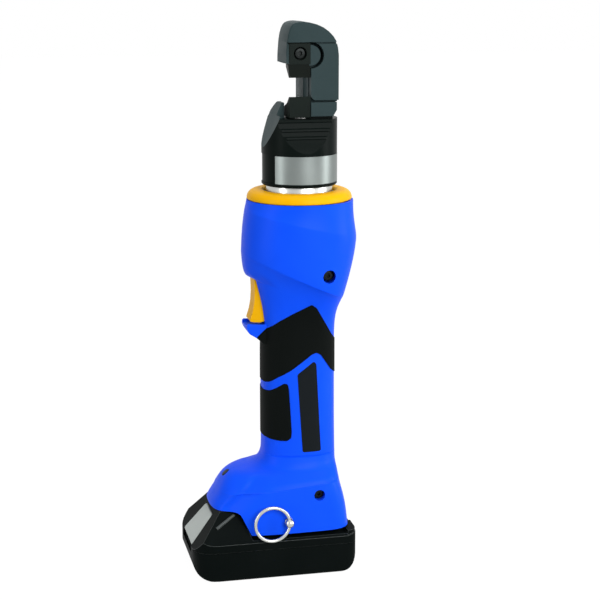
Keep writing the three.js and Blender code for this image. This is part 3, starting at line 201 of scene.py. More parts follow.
def noise(tree, vector, scale, detail=4.0, roughness=0.6):
    node = tree.nodes.new("ShaderNodeTexNoise")
    node.inputs["Detail"].default_value = detail
    node.inputs["Roughness"].default_value = roughness
    tree.links.new(vector, node.inputs["Vector"])
    if isinstance(scale, (int, float)):
        node.inputs["Scale"].default_value = scale
    else:
        tree.links.new(scale, node.inputs["Scale"])
    return node.outputs["Fac"]


def make_grain_group():
    group, start, end, place = new_group(
        "moulded_grain", [("Grains per metre", 900), ("Base", 0.4), ("Spread", 0.1), ("Mottle per metre", 40)],
        [("Height", "NodeSocketFloat"), ("Roughness", "NodeSocketFloat"), ("Mottle", "NodeSocketFloat")])
    where = place.outputs["Object"]
    fine = noise(group, where, start.outputs["Grains per metre"], 3, 0.6)
    broad = noise(group, where, start.outputs["Mottle per metre"], 3, 0.5)
    swing = maths(group, "SUBTRACT", broad, 0.5)
    rough = maths(group, "MULTIPLY_ADD", swing, start.outputs["Spread"], start.outputs["Base"])
    group.links.new(fine, end.inputs["Height"])
    group.links.new(rough, end.inputs["Roughness"])
    group.links.new(broad, end.inputs["Mottle"])
    return group


def make_rub_group():
    group, start, end, place = new_group(
        "rub_marks", [("Marks per metre", 60), ("Stretch", 8), ("Amount", 0.5)], [("Mask", "NodeSocketFloat")])
    stretch = group.nodes.new("ShaderNodeCombineXYZ")
    stretch.inputs["X"].default_value = 1
    stretch.inputs["Y"].default_value = 1
    group.links.new(start.outputs["Stretch"], stretch.inputs["Z"])
    pulled = group.nodes.new("ShaderNodeVectorMath")
    pulled.operation = "MULTIPLY"
    group.links.new(place.outputs["Object"], pulled.inputs[0])
    group.links.new(stretch.outputs[0], pulled.inputs[1])
    streaks = noise(group, pulled.outputs[0], start.outputs["Marks per metre"], 6, 0.7)
    sharp = maths(group, "MULTIPLY_ADD", streaks, 6, -3.5)
    kept = group.nodes.new("ShaderNodeClamp")
    group.links.new(sharp, kept.inputs["Value"])
    group.links.new(maths(group, "MULTIPLY", kept.outputs[0], start.outputs["Amount"]), end.inputs["Mask"])
    return group


grain_group = make_grain_group()
rub_group = make_rub_group()


def add_group(tree, group, **numbers):
    node = tree.nodes.new("ShaderNodeGroup")
    node.node_tree = group
    for label, value in numbers.items():
        node.inputs[label.replace("_", " ")].default_value = value
    return node


def two_colours(tree, mask, low, high):
    node = tree.nodes.new("ShaderNodeMix")
    node.data_type = "RGBA"
    tree.links.new(mask, node.inputs["Factor"])
    node.inputs["A"].default_value = (*low, 1)
    node.inputs["B"].default_value = (*high, 1)
    return node.outputs["Result"]


def grained(name, colour, shade, base, spread=0.12, grains=900, depth=0.05, metallic=0.0, coat=0.0, rubs=0.0,
            specular=0.5):
    """Finish with a mottled colour, a fine grain and faint rub marks"""
    material = bpy.data.materials.new(name)
    material.use_nodes = True
    tree = material.node_tree
    shader = tree.nodes["Principled BSDF"]
    shader.inputs["Metallic"].default_value = metallic
    shader.inputs["Coat Weight"].default_value = coat
    shader.inputs["Specular IOR Level"].default_value = specular
    grain = add_group(tree, grain_group, Grains_per_metre=grains, Base=base, Spread=spread, Mottle_per_metre=45)
    marks = add_group(tree, rub_group, Marks_per_metre=70, Stretch=5, Amount=rubs)
    tree.links.new(two_colours(tree, grain.outputs["Mottle"], colour, shade), shader.inputs["Base Color"])
    rough = maths(tree, "ADD", grain.outputs["Roughness"], marks.outputs["Mask"])
    tree.links.new(rough, shader.inputs["Roughness"])
    bump = tree.nodes.new("ShaderNodeBump")
    bump.inputs["Strength"].default_value = 1
    bump.inputs["Distance"].default_value = depth * mm
    tree.links.new(grain.outputs["Height"], bump.inputs["Height"])
    tree.links.new(bump.outputs["Normal"], shader.inputs["Normal"])
    return material


def bent(table, where):
    """Value at a place in a table of (place, value) pairs, with straight stretches between them"""
    for (a, low), (b, high) in zip(table, table[1:]):
        if where <= b:
            return low + (high - low) * max(0, (where - a) / (b - a))
    return table[-1][1]


front_line = [
    (29, 67), (47, 67), (50, 65.6), (55, 62.2), (61, 59.4), (66.4, 56.2), (69.4, 53.2), (71, 50), (71.8, 45.5),
    (72.4, 41), (73.2, 36.6), (74.6, 32.2), (77.4, 29.4), (81, 28), (86, 27.3), (160, 27.3),
    (170, 26.6), (176, 27), (182, 27.7),
    (188, 28.5), (194, 29.7), (200, 31.4), (205, 32.5), (208.2, 33.3), (209.4, 36.3), (210.5, 38.1),
    (211.8, 39), (213.8, 39.6), (217.4, 40.1),
    (225, 40.7),
    (236, 40.2), (248, 39.4), (258, 37.4), (263, 36.5),
]
rear_line = [
    (29, 31.1), (38, 30.2), (44, 29.5), (50, 28.6), (56, 27.1), (62, 25.4), (68, 24.8), (75, 24.8), (86, 24.8),
    (95, 24.4),
    (169, 24.1), (176, 24.3), (182, 24.9), (188, 26.2), (194, 28.7), (199, 30.7), (205, 32.4), (216, 35.5),
    (225, 37.6), (231, 38.6), (236, 38.95), (242, 38.3), (248, 37.2), (254, 36.5), (263, 36.4),
]
# Each level is its height on the axis, its tilt, half its width, its squareness and its crease
housing_levels = [
    (29, 0, 36, 3.2, 0), (37, 0, 36.2, 3.2, 0), (44, 0, 36, 3.2, 0), (50, 0.03, 35.8, 3.1, 0),
    (56, 0.07, 35.5, 3, 0), (61, 0.09, 35.1, 2.9, 0), (64.3, 0.1, 34.8, 2.9, 1), (64.9, 0.1, 33.8, 2.9, 1),
    (66.4, 0.1, 33.2, 2.85, 0), (68.4, 0.09, 31.9, 2.75, 0), (70.4, 0.075, 29.6, 2.65, 0),
    (72.3, 0.05, 27.3, 2.55, 0), (73.3, 0.04, 26.4, 2.5, 0), (74.1, 0.04, 25.7, 2.5, 0), (74.8, 0.04, 25.2, 2.5, 0),
    (76, 0.03, 24.5, 2.5, 0), (78.5, 0.02, 23.5, 2.5, 0), (81.4, 0, 23, 2.5, 0), (82.5, 0, 22.85, 2.5, 1),
    (82.9, 0, 21.75, 2.5, 1), (83.7, 0, 22, 2.5, 0.6), (88, 0, 22, 2.5, 0), (105, 0, 22, 2.5, 0), (125, 0, 22, 2.5, 0),
    (145, 0, 22, 2.5, 0), (159, -0.04, 22, 2.5, 0), (168, -0.12, 22.2, 2.45, 0), (176, -0.2, 22.8, 2.4, 0),
    (184, -0.3, 24.0, 2.35, 0), (190, -0.38, 25.9, 2.3, 0), (192.8, -0.4, 26.85, 2.3, 0),
    (194.5, -0.41, 27.5, 2.3, 0.6), (194.9, -0.412, 27.66, 2.3, 0.6), (196, -0.42, 28.1, 2.25, 0),
    (200, -0.43, 29.8, 2.2, 0), (205.5, -0.44, 32.9, 2.15, 0), (208, -0.45, 35.2, 2.15, 1),
    (211, -0.43, 35.7, 2.15, 0), (221, -0.36, 36.5, 2.15, 0), (233, -0.29, 37.1, 2.1, 0),
    (244.5, -0.25, 37.4, 2.1, 0), (247.2, -0.236, 37.4, 2.1, 1), (249.6, -0.2, 37.0, 2.08, 0),
    (254, -0.12, 36.4, 2.05, 0), (258.5, -0.05, 36.1, 2.02, 0), (262.8, 0, 36, 2, 0),
]
# The base's rear corners are squarer than its front: height on the axis, least squareness
rear_squareness = [(29, 5), (56, 4.6), (66, 3.6), (76, 2.5)]
housing_sides = 48
shell_wall = 2.4 * mm
seam_half = 0.09 * mm


def housing_point(level, angle):
    height, tilt, half, squareness, _ = level
    if math.cos(angle) > 0:
        squareness = max(squareness, bent(rear_squareness, height))
    z = height
    for _ in range(12):
        depth = bent(front_line if math.cos(angle) < 0 else rear_line, z)
        x = math.copysign(abs(math.cos(angle)) ** (2 / squareness), math.cos(angle)) * depth
        z = height + tilt * x
    y = math.copysign(abs(math.sin(angle)) ** (2 / squareness), math.sin(angle)) * half
    return Vector((x, y, z)) * mm


def housing_skin():
    shape = bmesh.new()
    sharpness = shape.edges.layers.float.new("crease_edge")
    rings = []
    for level in housing_levels:
        made = bmesh.ops.create_circle(shape, segments=housing_sides, radius=1, cap_ends=False)
        for point in made["verts"]:
            point.co = housing_point(level, math.atan2(point.co.y, point.co.x))
        ring = list({edge for point in made["verts"] for edge in point.link_edges})
        for edge in ring:
            edge[sharpness] = level[4]
        rings.append(ring)
    for low, high in zip(rings, rings[1:]):
        bmesh.ops.bridge_loops(shape, edges=low + high)
    bmesh.ops.recalc_face_normals(shape, faces=shape.faces)
    return shape


def new_piece(name, shape, *materials, smooth_under=35):
    """Object at the origin from a bmesh, smooth but for edges sharper than an angle"""
    mesh = bpy.data.meshes.new(name)
    for face in shape.faces:
        face.smooth = True
    for edge in shape.edges:
        if len(edge.link_faces) == 2:
            edge.smooth = edge.calc_face_angle(0) < math.radians(smooth_under)
    shape.to_mesh(mesh)
    shape.free()
    for material in materials:
        mesh.materials.append(material)
    piece = bpy.data.objects.new(name, mesh)
    bpy.context.scene.collection.objects.link(piece)
    return piece


def shape_of(piece):
    """Bmesh of a piece with its modifiers worked in; the piece itself is deleted"""
    settled = piece.evaluated_get(bpy.context.evaluated_depsgraph_get())
    shape = bmesh.new()
    shape.from_mesh(settled.to_mesh())
    settled.to_mesh_clear()
    bpy.data.objects.remove(piece)
    return shape


def rounded(shape, levels=2):
    """The shape after subdivision"""
    piece = new_piece("rounding", shape)
    finer = piece.modifiers.new("subdivide", "SUBSURF")
    finer.levels = finer.render_levels = levels
    return shape_of(piece)


def combined(shape, other, operation):
    """The shape joined with, cut by or kept inside another"""
    piece = new_piece("first", shape)
    tool = new_piece("second", other)
    step = piece.modifiers.new("combine", "BOOLEAN")
    step.operation = operation
    step.solver = "EXACT"
    step.object = tool
    result = shape_of(piece)
    bpy.data.objects.remove(tool)
    return result


def side_prism(outline, y0, y1, corner=0.0, segments=5):
    """Prism across the tool from an outline of (x, z) in millimetres, with rounded corners"""
    shape = bmesh.new()
    points = [shape.verts.new((x * mm, y0 * mm, z * mm)) for x, z in outline]
    shape.faces.new(points)
    if corner:
        bmesh.ops.bevel(shape, geom=shape.verts[:], offset=corner * mm, segments=segments, affect="VERTICES",
                        profile=0.5, material=-1, clamp_overlap=True)
    grown = bmesh.ops.extrude_face_region(shape, geom=shape.faces[:])
    moved = [item for item in grown["geom"] if isinstance(item, bmesh.types.BMVert)]
    bmesh.ops.translate(shape, verts=moved, vec=(0, (y1 - y0) * mm, 0))
    bmesh.ops.recalc_face_normals(shape, faces=shape.faces)
    return shape


def along_tool(outline, x0, x1):
    """Prism from front to rear from an outline of (y, z) in millimetres"""
    shape = bmesh.new()
    face = shape.faces.new([shape.verts.new((x0 * mm, y * mm, z * mm)) for y, z in outline])
    grown = bmesh.ops.extrude_face_region(shape, geom=[face])
    moved = [item for item in grown["geom"] if isinstance(item, bmesh.types.BMVert)]
    bmesh.ops.translate(shape, verts=moved, vec=((x1 - x0) * mm, 0, 0))
    bmesh.ops.recalc_face_normals(shape, faces=shape.faces)
    return shape


def bar(radius, start, end, sides=32, radius2=None):
    """Round bar between two points, in millimetres"""
    start, end = Vector(start), Vector(end)
    shape = bmesh.new()
    bmesh.ops.create_cone(shape, cap_ends=True, segments=sides, radius1=radius * mm,
                          radius2=(radius if radius2 is None else radius2) * mm, depth=(end - start).length * mm)
    turn = (end - start).to_track_quat("Z", "Y").to_matrix().to_4x4()
    bmesh.ops.transform(shape, matrix=Matrix.Translation((start + end) / 2 * mm) @ turn, verts=shape.verts)
    return shape


def cuboid(low, high, edge=0.0, segments=2):
    """Box between two corners in millimetres, with rounded edges"""
    shape = bmesh.new()
    bmesh.ops.create_cube(shape, size=1)
    low, high = Vector(low), Vector(high)
    bmesh.ops.scale(shape, vec=(high - low) * mm, verts=shape.verts)
    bmesh.ops.translate(shape, vec=(high + low) / 2 * mm, verts=shape.verts)
    if edge:
        bmesh.ops.bevel(shape, geom=shape.edges[:], offset=edge * mm, segments=segments, affect="EDGES",
                        profile=0.5, material=-1)
    return shape


def together(*shapes):
    """Several shapes in one bmesh"""
    whole = shapes[0]
    for shape in shapes[1:]:
        part = bpy.data.meshes.new("part")
        shape.to_mesh(part)
        shape.free()
        whole.from_mesh(part)
        bpy.data.meshes.remove(part)
    return whole


blue_nylon = grained("blue_nylon", (0.0024, 0.0749, 0.906), (0.0048, 0.0902, 0.968), 0.42, 0.1, 1500, 0.012, rubs=0.12,
                     specular=0.07)

trigger_slot = [(-50, 175.4), (-50, 207.8), (-34, 209), (-19.5, 209), (-19.5, 176.2), (-30, 175.4)]
trigger_slot_half = 7.8
battery_room = [(-80, 20), (-80, 47.3), (-52.2, 47.3), (-50, 47), (-48.3, 45.9), (-46.9, 43.4), (-44.1, 37.5),
                (-41.2, 31.5), (7, 32), (27, 32.4), (45, 32.6), (45, 20)]
lens_middle = Vector((-54.3, 0, 68.6))
lens_direction = Vector((-math.cos(0.9), 0, math.sin(0.9)))
lens_radius = 3.0
body_screw_place = (13.5, 213.4)
base_screw_place = (6.9, 58)
well_radius = 4.7
base_well_radius = 3.9
# A fold runs down the base's cheeks between two places in (x, z). Below it the skin sinks over
# the width of the wall and rises again over the reach. The fades are in lengths of the fold.
fold_top = Vector((-37.5, 73))
fold_foot = Vector((-59.5, 52))
fold_depth = 2.9
fold_wall = 3.6
fold_reach = 16
fold_end = 1.25
fade_at_top = 0.45
fade_at_foot = 0.2
fold_full_half = 15


def fold_sink(x, z):
    """How deep the fold sinks the skin at a place on the side of the base"""
    run = fold_top - fold_foot
    away = Vector((x, z)) - fold_foot
    along = away.dot(run) / run.length_squared
    below = (away.x * run.y - away.y * run.x) / run.length
    if below <= 0 or below >= fold_reach:
        return 0
    sink = min(1, below / fold_wall)
    if below >= fold_wall:
        sink = (fold_reach - below) / (fold_reach - fold_wall)
    top_end = max(0, min(1, (fold_end - along) / fade_at_top))
    foot_end = max(0, min(1, (along + fade_at_foot) / fade_at_foot))
    return fold_depth * (top_end * foot_end) * sink * sink * (3 - 2 * sink)


def fold_skin(skin):
    skin.normal_update()
    moves = []
    for point in skin.verts:
        if point.co.x < -10 * mm and point.co.z < 82 * mm:
            sink = fold_sink(point.co.x / mm, point.co.z / mm)
            sink = sink * min(1, abs(point.co.y) / (fold_full_half * mm))
            moves.append((point, Vector((point.normal.x, point.normal.y, 0)) * -sink * mm))
    for point, move in moves:
        point.co += move
    skin.normal_update()


lip_outline = [(-24, 163.2), (-27.2, 163.2), (-32.6, 167.3), (-37.6, 170.4), (-39.3, 174), (-38.9, 177.2),
               (-36.6, 177.2), (-31, 176.6), (-24, 176.4)]
lip_half = 10


def trigger_lip():
    lip = side_prism(lip_outline, -lip_half, lip_half, 1.4, 4)
    bmesh.ops.bevel(lip, geom=[edge for edge in lip.edges if abs(edge.verts[0].co.y - edge.verts[1].co.y) < 1e-6],
                    offset=2.2 * mm, segments=4, affect="EDGES", profile=0.5, material=-1, clamp_overlap=True)
    return lip


def half_shell(side):
    """Shell of one side: side is -1 for the ring side and 1 for the other"""
    skin = rounded(housing_skin(), 2)
    fold_skin(skin)
    bmesh.ops.bisect_plane(skin, geom=skin.verts[:] + skin.edges[:] + skin.faces[:],
                           plane_co=(0, side * seam_half, 0), plane_no=(0, -side, 0), clear_outer=True)
    walled = new_piece("walled", skin)
    wall = walled.modifiers.new("wall", "SOLIDIFY")
    wall.thickness = shell_wall
    wall.offset = -1
    wall.use_even_offset = True
    shape = shape_of(walled)
    lip = trigger_lip()
    bmesh.ops.bisect_plane(lip, geom=lip.verts[:] + lip.edges[:] + lip.faces[:],
                           plane_co=(0, side * seam_half, 0), plane_no=(0, -side, 0), clear_outer=True)
    bmesh.ops.holes_fill(lip, edges=[edge for edge in lip.edges if edge.is_boundary])
    shape = combined(shape, lip, "UNION")
    shape = combined(shape, side_prism(trigger_slot, -trigger_slot_half, trigger_slot_half), "DIFFERENCE")
    shape = combined(shape, side_prism(battery_room, -45, 45, 0.7), "DIFFERENCE")
    lens_bore = bar(lens_radius + 0.3, lens_middle - lens_direction * 5, lens_middle + lens_direction * 10)
    shape = combined(shape, lens_bore, "DIFFERENCE")
    x, z = body_screw_place
    shape = combined(shape, bar(well_radius, (x, side * 20, z), (x, side * 45, z)), "DIFFERENCE")
    tube = bar(well_radius + 1.2, (x, side * 24, z), (x, side * 31.5, z))
    shape = together(shape, combined(tube, bar(well_radius, (x, side * 20, z), (x, side * 40, z)), "DIFFERENCE"))
    if side < 0:
        x, z = base_screw_place
        shape = combined(shape, bar(base_well_radius, (x, -20, z), (x, -45, z)), "DIFFERENCE")
        tube = bar(base_well_radius + 1.2, (x, -24, z), (x, -33, z))
        shape = together(shape, combined(tube, bar(base_well_radius, (x, -20, z), (x, -40, z)), "DIFFERENCE"))
        shape = combined(shape, bar(2.1, (-15.4, -25, 40.9), (-15.4, -45, 40.9)), "DIFFERENCE")
    return shape


for side, half in (("left", -1), ("right", 1)):
    shell = new_piece(f"shell_{side}", half_shell(half), blue_nylon, smooth_under=32)
    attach(shell, "housing")
    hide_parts(f"housing_{side}")



# Black rubber grips, moulded over both shells in two pads a side: the upper one runs round
# the handle under the trigger, the lower one sits on its front. Each stands a little proud.
def skin_between(proud, depth):
    """Closed outer and inner skins of the housing, moved out and in along their normals"""
    skins = []
    for distance in (proud, -depth):
        skin = rounded(housing_skin(), 2)
        skin.normal_update()
        moves = [(point, point.normal * distance * mm) for point in skin.verts]
        for point, move in moves:
            point.co += move
        bmesh.ops.holes_fill(skin, edges=[edge for edge in skin.edges if edge.is_boundary])
        bmesh.ops.recalc_face_normals(skin, faces=skin.faces)
        skins.append(skin)
    return skins


def skin_patch(outline, side, proud, depth, corner):
    outer, inner = skin_between(proud, depth)
    reach = (-60, -seam_half / mm) if side < 0 else (seam_half / mm, 60)
    patch = combined(outer, side_prism(outline, *reach, corner, 4), "INTERSECT")
    return combined(patch, inner, "DIFFERENCE")


def softly_edged(piece, width, segments=2, angle=38, finish=-1):
    """Rounds the sharp edges of a finished piece, in one of its finishes"""
    step = piece.modifiers.new("edges", "BEVEL")
    step.width = width * mm
    step.segments = segments
    step.limit_method = "ANGLE"
    step.angle_limit = math.radians(angle)
    step.material = finish


grip_rubber = grained("grip_rubber", (0.0024, 0.0036, 0.0032), (0.0041, 0.0053, 0.0048), 0.66, 0.12, 2400, 0.03,
                      specular=0.035)
grip_proud = 0.45
grip_depth = 1.0
upper_grip = [
    (-40, 134.6), (-27, 135.2), (-24, 136.6), (-19.2, 140.4), (-10.5, 145.6), (4, 156.4), (7.4, 157.6),
    (10.7, 155.8), (18.5, 144.4), (24, 139.6), (40, 139.6), (40, 163.6), (24, 163.6), (19.4, 169.3),
    (6.2, 190.6), (2.8, 192.9), (-10.5, 185.6), (-17.5, 181), (-24.4, 175), (-31, 169), (-40, 162),
]
lower_grip = [
    (-40, 128.6), (-27, 129.2), (-23.5, 130.4), (-18, 134.2), (-15.2, 136.2), (-12.8, 135.8), (-12, 132),
    (-11.2, 119.6), (-10.1, 101), (-10.6, 96.6), (-13.4, 94.7), (-18, 94.6), (-24, 95), (-27, 95.6),
    (-40, 96),
]
lip_underside = [(-22, 163.2), (-22, 177), (-24.4, 175), (-31, 169), (-32.4, 167.2), (-27.4, 162.9)]

for side, half in (("left", -1), ("right", 1)):
    for level, outline in (("upper", upper_grip), ("lower", lower_grip)):
        pad_shape = skin_patch(outline, half, grip_proud, grip_depth, 0.9)
        if level == "upper":
            ends = sorted((half * seam_half / mm, half * (lip_half + 0.3)))
            pad_shape = combined(pad_shape, side_prism(lip_underside, *ends, 0.5), "UNION")
        pad = new_piece(f"grip_pad_{level}_{side}", pad_shape, grip_rubber, smooth_under=32)
        softly_edged(pad, 0.22)
        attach(pad, "housing")
        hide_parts(f"grip_{level}_{side}")


# Name plate of thin dark film, stuck into a shallow recess in the side of the handle. It is
# left bare here, with only the film's fine mottling.
plate_film = grained("plate_film", (0.0048, 0.0072, 0.0089), (0.0072, 0.0096, 0.0113), 0.34, 0.1, 500, 0.004, rubs=0.15,
                     specular=0.07)
plate_outline = [(-6.1, 142.6), (5.6, 151.4), (7.4, 149.6), (11, 86), (-2.4, 86)]
plate = new_piece("bare_plate", skin_patch(plate_outline, -1, 0.15, 1.0, 1.2), plate_film, smooth_under=32)
softly_edged(plate, 0.08)
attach(plate, "housing")
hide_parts("name_plate")


# Yellow collar ring that closes the shells round the cylinder: one turned moulding with a
# straight rim and a rounded shoulder.
def spun(profile, corner=0.0, steps=4, sides=96):
    """Turned body about the tool's axis from a closed profile of (radius, height) in millimetres"""
    shape = bmesh.new()
    points = [shape.verts.new((radius * mm, 0, height * mm)) for radius, height in profile]
    face = shape.faces.new(points)
    if corner:
        outer = [point for point in shape.verts if point.co.x > 1e-6]
        bmesh.ops.bevel(shape, geom=outer, offset=corner * mm, segments=steps, affect="VERTICES",
                        profile=0.5, material=-1, clamp_overlap=True)
    bmesh.ops.spin(shape, geom=shape.edges[:], cent=(0, 0, 0), axis=(0, 0, 1), angle=math.tau, steps=sides,
                   use_merge=True)
    bmesh.ops.delete(shape, geom=[face for face in shape.faces if len(face.verts) > 4], context="FACES_ONLY")
    bmesh.ops.remove_doubles(shape, verts=shape.verts, dist=1e-6)
    bmesh.ops.recalc_face_normals(shape, faces=shape.faces)
    return shape


yellow_nylon = grained("yellow_nylon", (0.811, 0.405, 0.0005), (0.874, 0.451, 0.001), 0.42, 0.1, 1500, 0.01,
                       specular=0.07)
collar_ring = new_piece("collar_ring_turned", spun([
    (24.85, 257.5), (32, 257.5), (32, 263.2), (36.3, 263.2), (36.3, 264.6), (35.6, 266.6), (34.2, 268.2),
    (32.2, 269.2), (30, 269.6), (26.2, 269.6), (25.1, 269), (24.85, 268)], 0.35, 3, 120), yellow_nylon)
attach(collar_ring, "housing")
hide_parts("collar_ring")


# Steel hydraulic cylinder, turned and ground: only its bright neck shows, between the collar
# ring and the cutting head.
turned_steel = grained("turned_steel", (0.50, 0.51, 0.49), (0.56, 0.57, 0.55), 0.3, 0.12, 300, 0.003,
                       metallic=1.0)
cylinder = new_piece("turned_cylinder", spun([
    (0, 221.7), (24.5, 221.7), (24.5, 267.2), (22.8, 267.8), (22.8, 272.75), (21, 272.75), (21, 280.7),
    (20, 280.7), (20, 283.3), (21, 283.3), (21, 291.5), (17, 291.5), (17, 229.7), (0, 229.7)],
    0.12, 2, 96), turned_steel)
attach(cylinder, "housing")
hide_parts("hydraulic_cylinder")



# Cutting head: a forged steel C-frame with a turned collar, milled flats and a domed cap, all
# phosphated nearly black. It turns on the cylinder's spindle.
def lathe_bar(radius, low, high, sides=128):
    return bar(radius, (0, 0, low), (0, 0, high), sides)


spine_front = 1.0
cheek_front = 5.0
frame_half = 15.0
frame_outline = [
    (20.6, 318), (20.6, 320.6), (22.8, 324.4), (22.8, 329.7), (24, 329.7), (24, 361), (23.4, 366),
    (22.2, 370.3), (20.1, 373.6), (17.2, 376.6), (13.4, 379.3),
    (9, 381.3), (4, 382.6), (-1, 383), (-3.6, 382.9), (-5.6, 382.5), (-7.2, 381.8), (-8.6, 380.4),
    (-9.8, 378), (-10.8, 374.5), (-11.5, 370), (-12, 363), (-12, 355.5), (spine_front, 355.5),
    (spine_front, 318),
]
wing_outline = [(-34, 282), (-26, 298.5), (-14.7, 326.5), (-13.6, 329), (-13.6, 336), (-34, 336)]

phosphated = grained("phosphated_flats", (0.0236, 0.0409, 0.0428), (0.031, 0.0496, 0.0521), 0.46, 0.14, 1800, 0.006,
                     metallic=0.03, rubs=0.15, specular=0.05)
black_forging = grained("black_forging", (0.0026, 0.005, 0.0043), (0.0046, 0.0073, 0.0063), 0.34, 0.12, 1500, 0.004,
                        metallic=0.02, rubs=0.1, specular=0.03)


recess_outline = [
    (26.4, 295.2), (24.6, 299.3), (22.6, 303.6), (21.9, 305.2), (22.4, 305.9), (22.1, 306.9), (20.7, 307.6),
    (19.9, 310.2), (20.5, 310.9), (20.2, 312.1), (18.9, 312.8), (18.1, 316.2), (18.7, 316.9), (18.6, 318.4),
    (17.6, 318.9), (17.6, 334), (40, 334), (40, 295.2),
]
wing_corner = [(5, 329.6), (10, 328), (14, 325.4), (18, 321.6), (22, 315.4), (32, 314), (32, 336), (5, 336)]


def head_forging():
    collar = spun([(0, 273), (25.2, 273), (26, 273.8), (26, 275), (25.5, 275), (25.5, 294.6), (26, 294.6),
                   (26, 329), (0, 329)], sides=160)
    for cut in (
        side_prism(wing_outline, -31, 31, 1.2),
        cuboid((-11.7, -31, 318.5), (31, 31, 334)),
    ):
        collar = combined(collar, cut, "DIFFERENCE")
    for side in (-1, 1):
        recess = along_tool([(side * y, z) for y, z in recess_outline], -39, 39)
        corner = along_tool([(side * y, z) for y, z in wing_corner], -34, -8)
        collar = combined(combined(collar, recess, "DIFFERENCE"), corner, "DIFFERENCE")
    frame = side_prism(frame_outline, -frame_half, frame_half)
    brow = [edge for edge in frame.edges if all(point.co.x < -0.0035 and point.co.z > 0.36 for point in edge.verts)
            and abs(edge.verts[0].co.y - edge.verts[1].co.y) < 1e-6]
    bmesh.ops.bevel(frame, geom=brow, offset=1.3 * mm, segments=4, affect="EDGES", profile=0.5, material=-1)
    shape = combined(collar, frame, "UNION")
    for cut in (
        lathe_bar(21.3, 270, 291.8, 96),
        lathe_bar(22.3, 280.7, 283.3, 96),
        lathe_bar(9.3, 280, 331.8, 64),
        cuboid((-11.7, -25, 318.5), (cheek_front, 10.3, 345.8)),
        cuboid((-17, -25, 318.5), (cheek_front, -6, 355.6)),
        cuboid((-10.4, -25, 350), (cheek_front, -6, 369.5)),
        cuboid((-4, -9, 318.5), (8, -6, 355.5)),
        bar(8.8, (cheek_front, -25, 361), (cheek_front, -6, 361), 64),
        bar(2.3, (-2.3, -25, 362.2), (-2.3, 4, 362.2), 32),
        side_prism([(0, 329.6), (36, 329.6), (36, 331.1), (7.6, 331.1), (6.2, 331.8), (5.4, 333.2), (4.9, 336),
                    (0, 336)], -25, -10.5),
        side_prism([(0, 318.4), (36, 318.4), (36, 320.2), (0, 320.2)], -25, -12),
        side_prism([(-20, 368.4), (36, 368.4), (36, 369.6), (-20, 369.6)], -25, -13.3),
    ):
        shape = combined(shape, cut, "DIFFERENCE")
    return shape


# Lighter steel finish for the far wall of the throat, which lies in the cheek's shade: painted light.
throat_painted_light = grained("throat_painted_light", (0.308, 0.339, 0.339), (0.4, 0.431, 0.431), 0.5, 0.14, 1200, 0.006,
                       metallic=0.4, rubs=0.15, specular=0.1)
# Lighter finish for the head's rounded edges: a painted edge highlight.
head_edge_highlight = grained("head_edge_highlight", (0.045, 0.056, 0.056), (0.065, 0.077, 0.077), 0.4, 0.14, 1200, 0.005, metallic=0.4,
                    rubs=0.15, specular=0.12)
head = new_piece("head_forging", head_forging(), phosphated, black_forging, throat_painted_light, head_edge_highlight,
                 smooth_under=12)
for face in head.data.polygons:
    middle = face.center / mm
    on_wing = face.normal.x < -0.8 and abs(face.normal.y) < 0.05 and middle.z > 299
    turned_side = math.hypot(middle.x, middle.y) > 25.2
    if (middle.z < 318.9 or turned_side) and not on_wing:
        face.material_index = 1
    # The far wall of the throat takes the lighter finish: painted light in a shaded recess.
    if face.normal.y < -0.9 and 10 < middle.y < 10.6:
        face.material_index = 2
# The bevel faces take the lighter edge finish: a painted highlight.
softly_edged(head, 0.25, 2, 13, 3)
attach(head, "head")
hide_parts("head_frame")


# Bright foil band wrapped half round the collar in a shallow groove, left without signs.
foil = grained("brushed_foil", (0.173, 0.197, 0.19), (0.226, 0.25, 0.243), 0.38, 0.12, 700, 0.004, metallic=1.0)
band_middle = math.radians(-25)
band_half_angle = math.radians(116)
band_low, band_high = 275.4, 294.2


def band_shape():
    shape = bmesh.new()
    corners = [(25.62, band_low), (26.12, band_low), (26.12, band_high), (25.62, band_high)]
    points = [shape.verts.new((radius * mm, 0, height * mm)) for radius, height in corners]
    face = shape.faces.new(points)
    bmesh.ops.rotate(shape, verts=shape.verts, cent=(0, 0, 0),
                     matrix=Matrix.Rotation(band_middle - band_half_angle, 3, "Z"))
    bmesh.ops.spin(shape, geom=[face] + shape.edges[:] + shape.verts[:], cent=(0, 0, 0), axis=(0, 0, 1),
                   angle=band_half_angle * 2, steps=96, use_merge=False)
    bmesh.ops.recalc_face_normals(shape, faces=shape.faces)
    return shape


band = new_piece("foil_band", band_shape(), foil)
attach(band, "head")
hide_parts("silver_band")


# Hardened blades with ground cutting bevels. The upper one is a shaped plate screwed to the
# frame, with a round boss that sits in the cheek; the lower one rides up on the ram.
blade_steel = grained("blade_steel", (0.0065, 0.0101, 0.0084), (0.0096, 0.0137, 0.012), 0.4, 0.12, 1200, 0.004,
                      metallic=0.03, rubs=0.15, specular=0.04)
ground_steel = grained("ground_steel", (0.0022, 0.0043, 0.0029), (0.0043, 0.0065, 0.005), 0.34, 0.1, 700, 0.003,
                       metallic=0.06, specular=0.05)
blade_near = -14.4
blade_far = -6.3
blade_front = -10.0
blade_back = 4.7
upper_edge = 346.2
bevel_top = 354.6


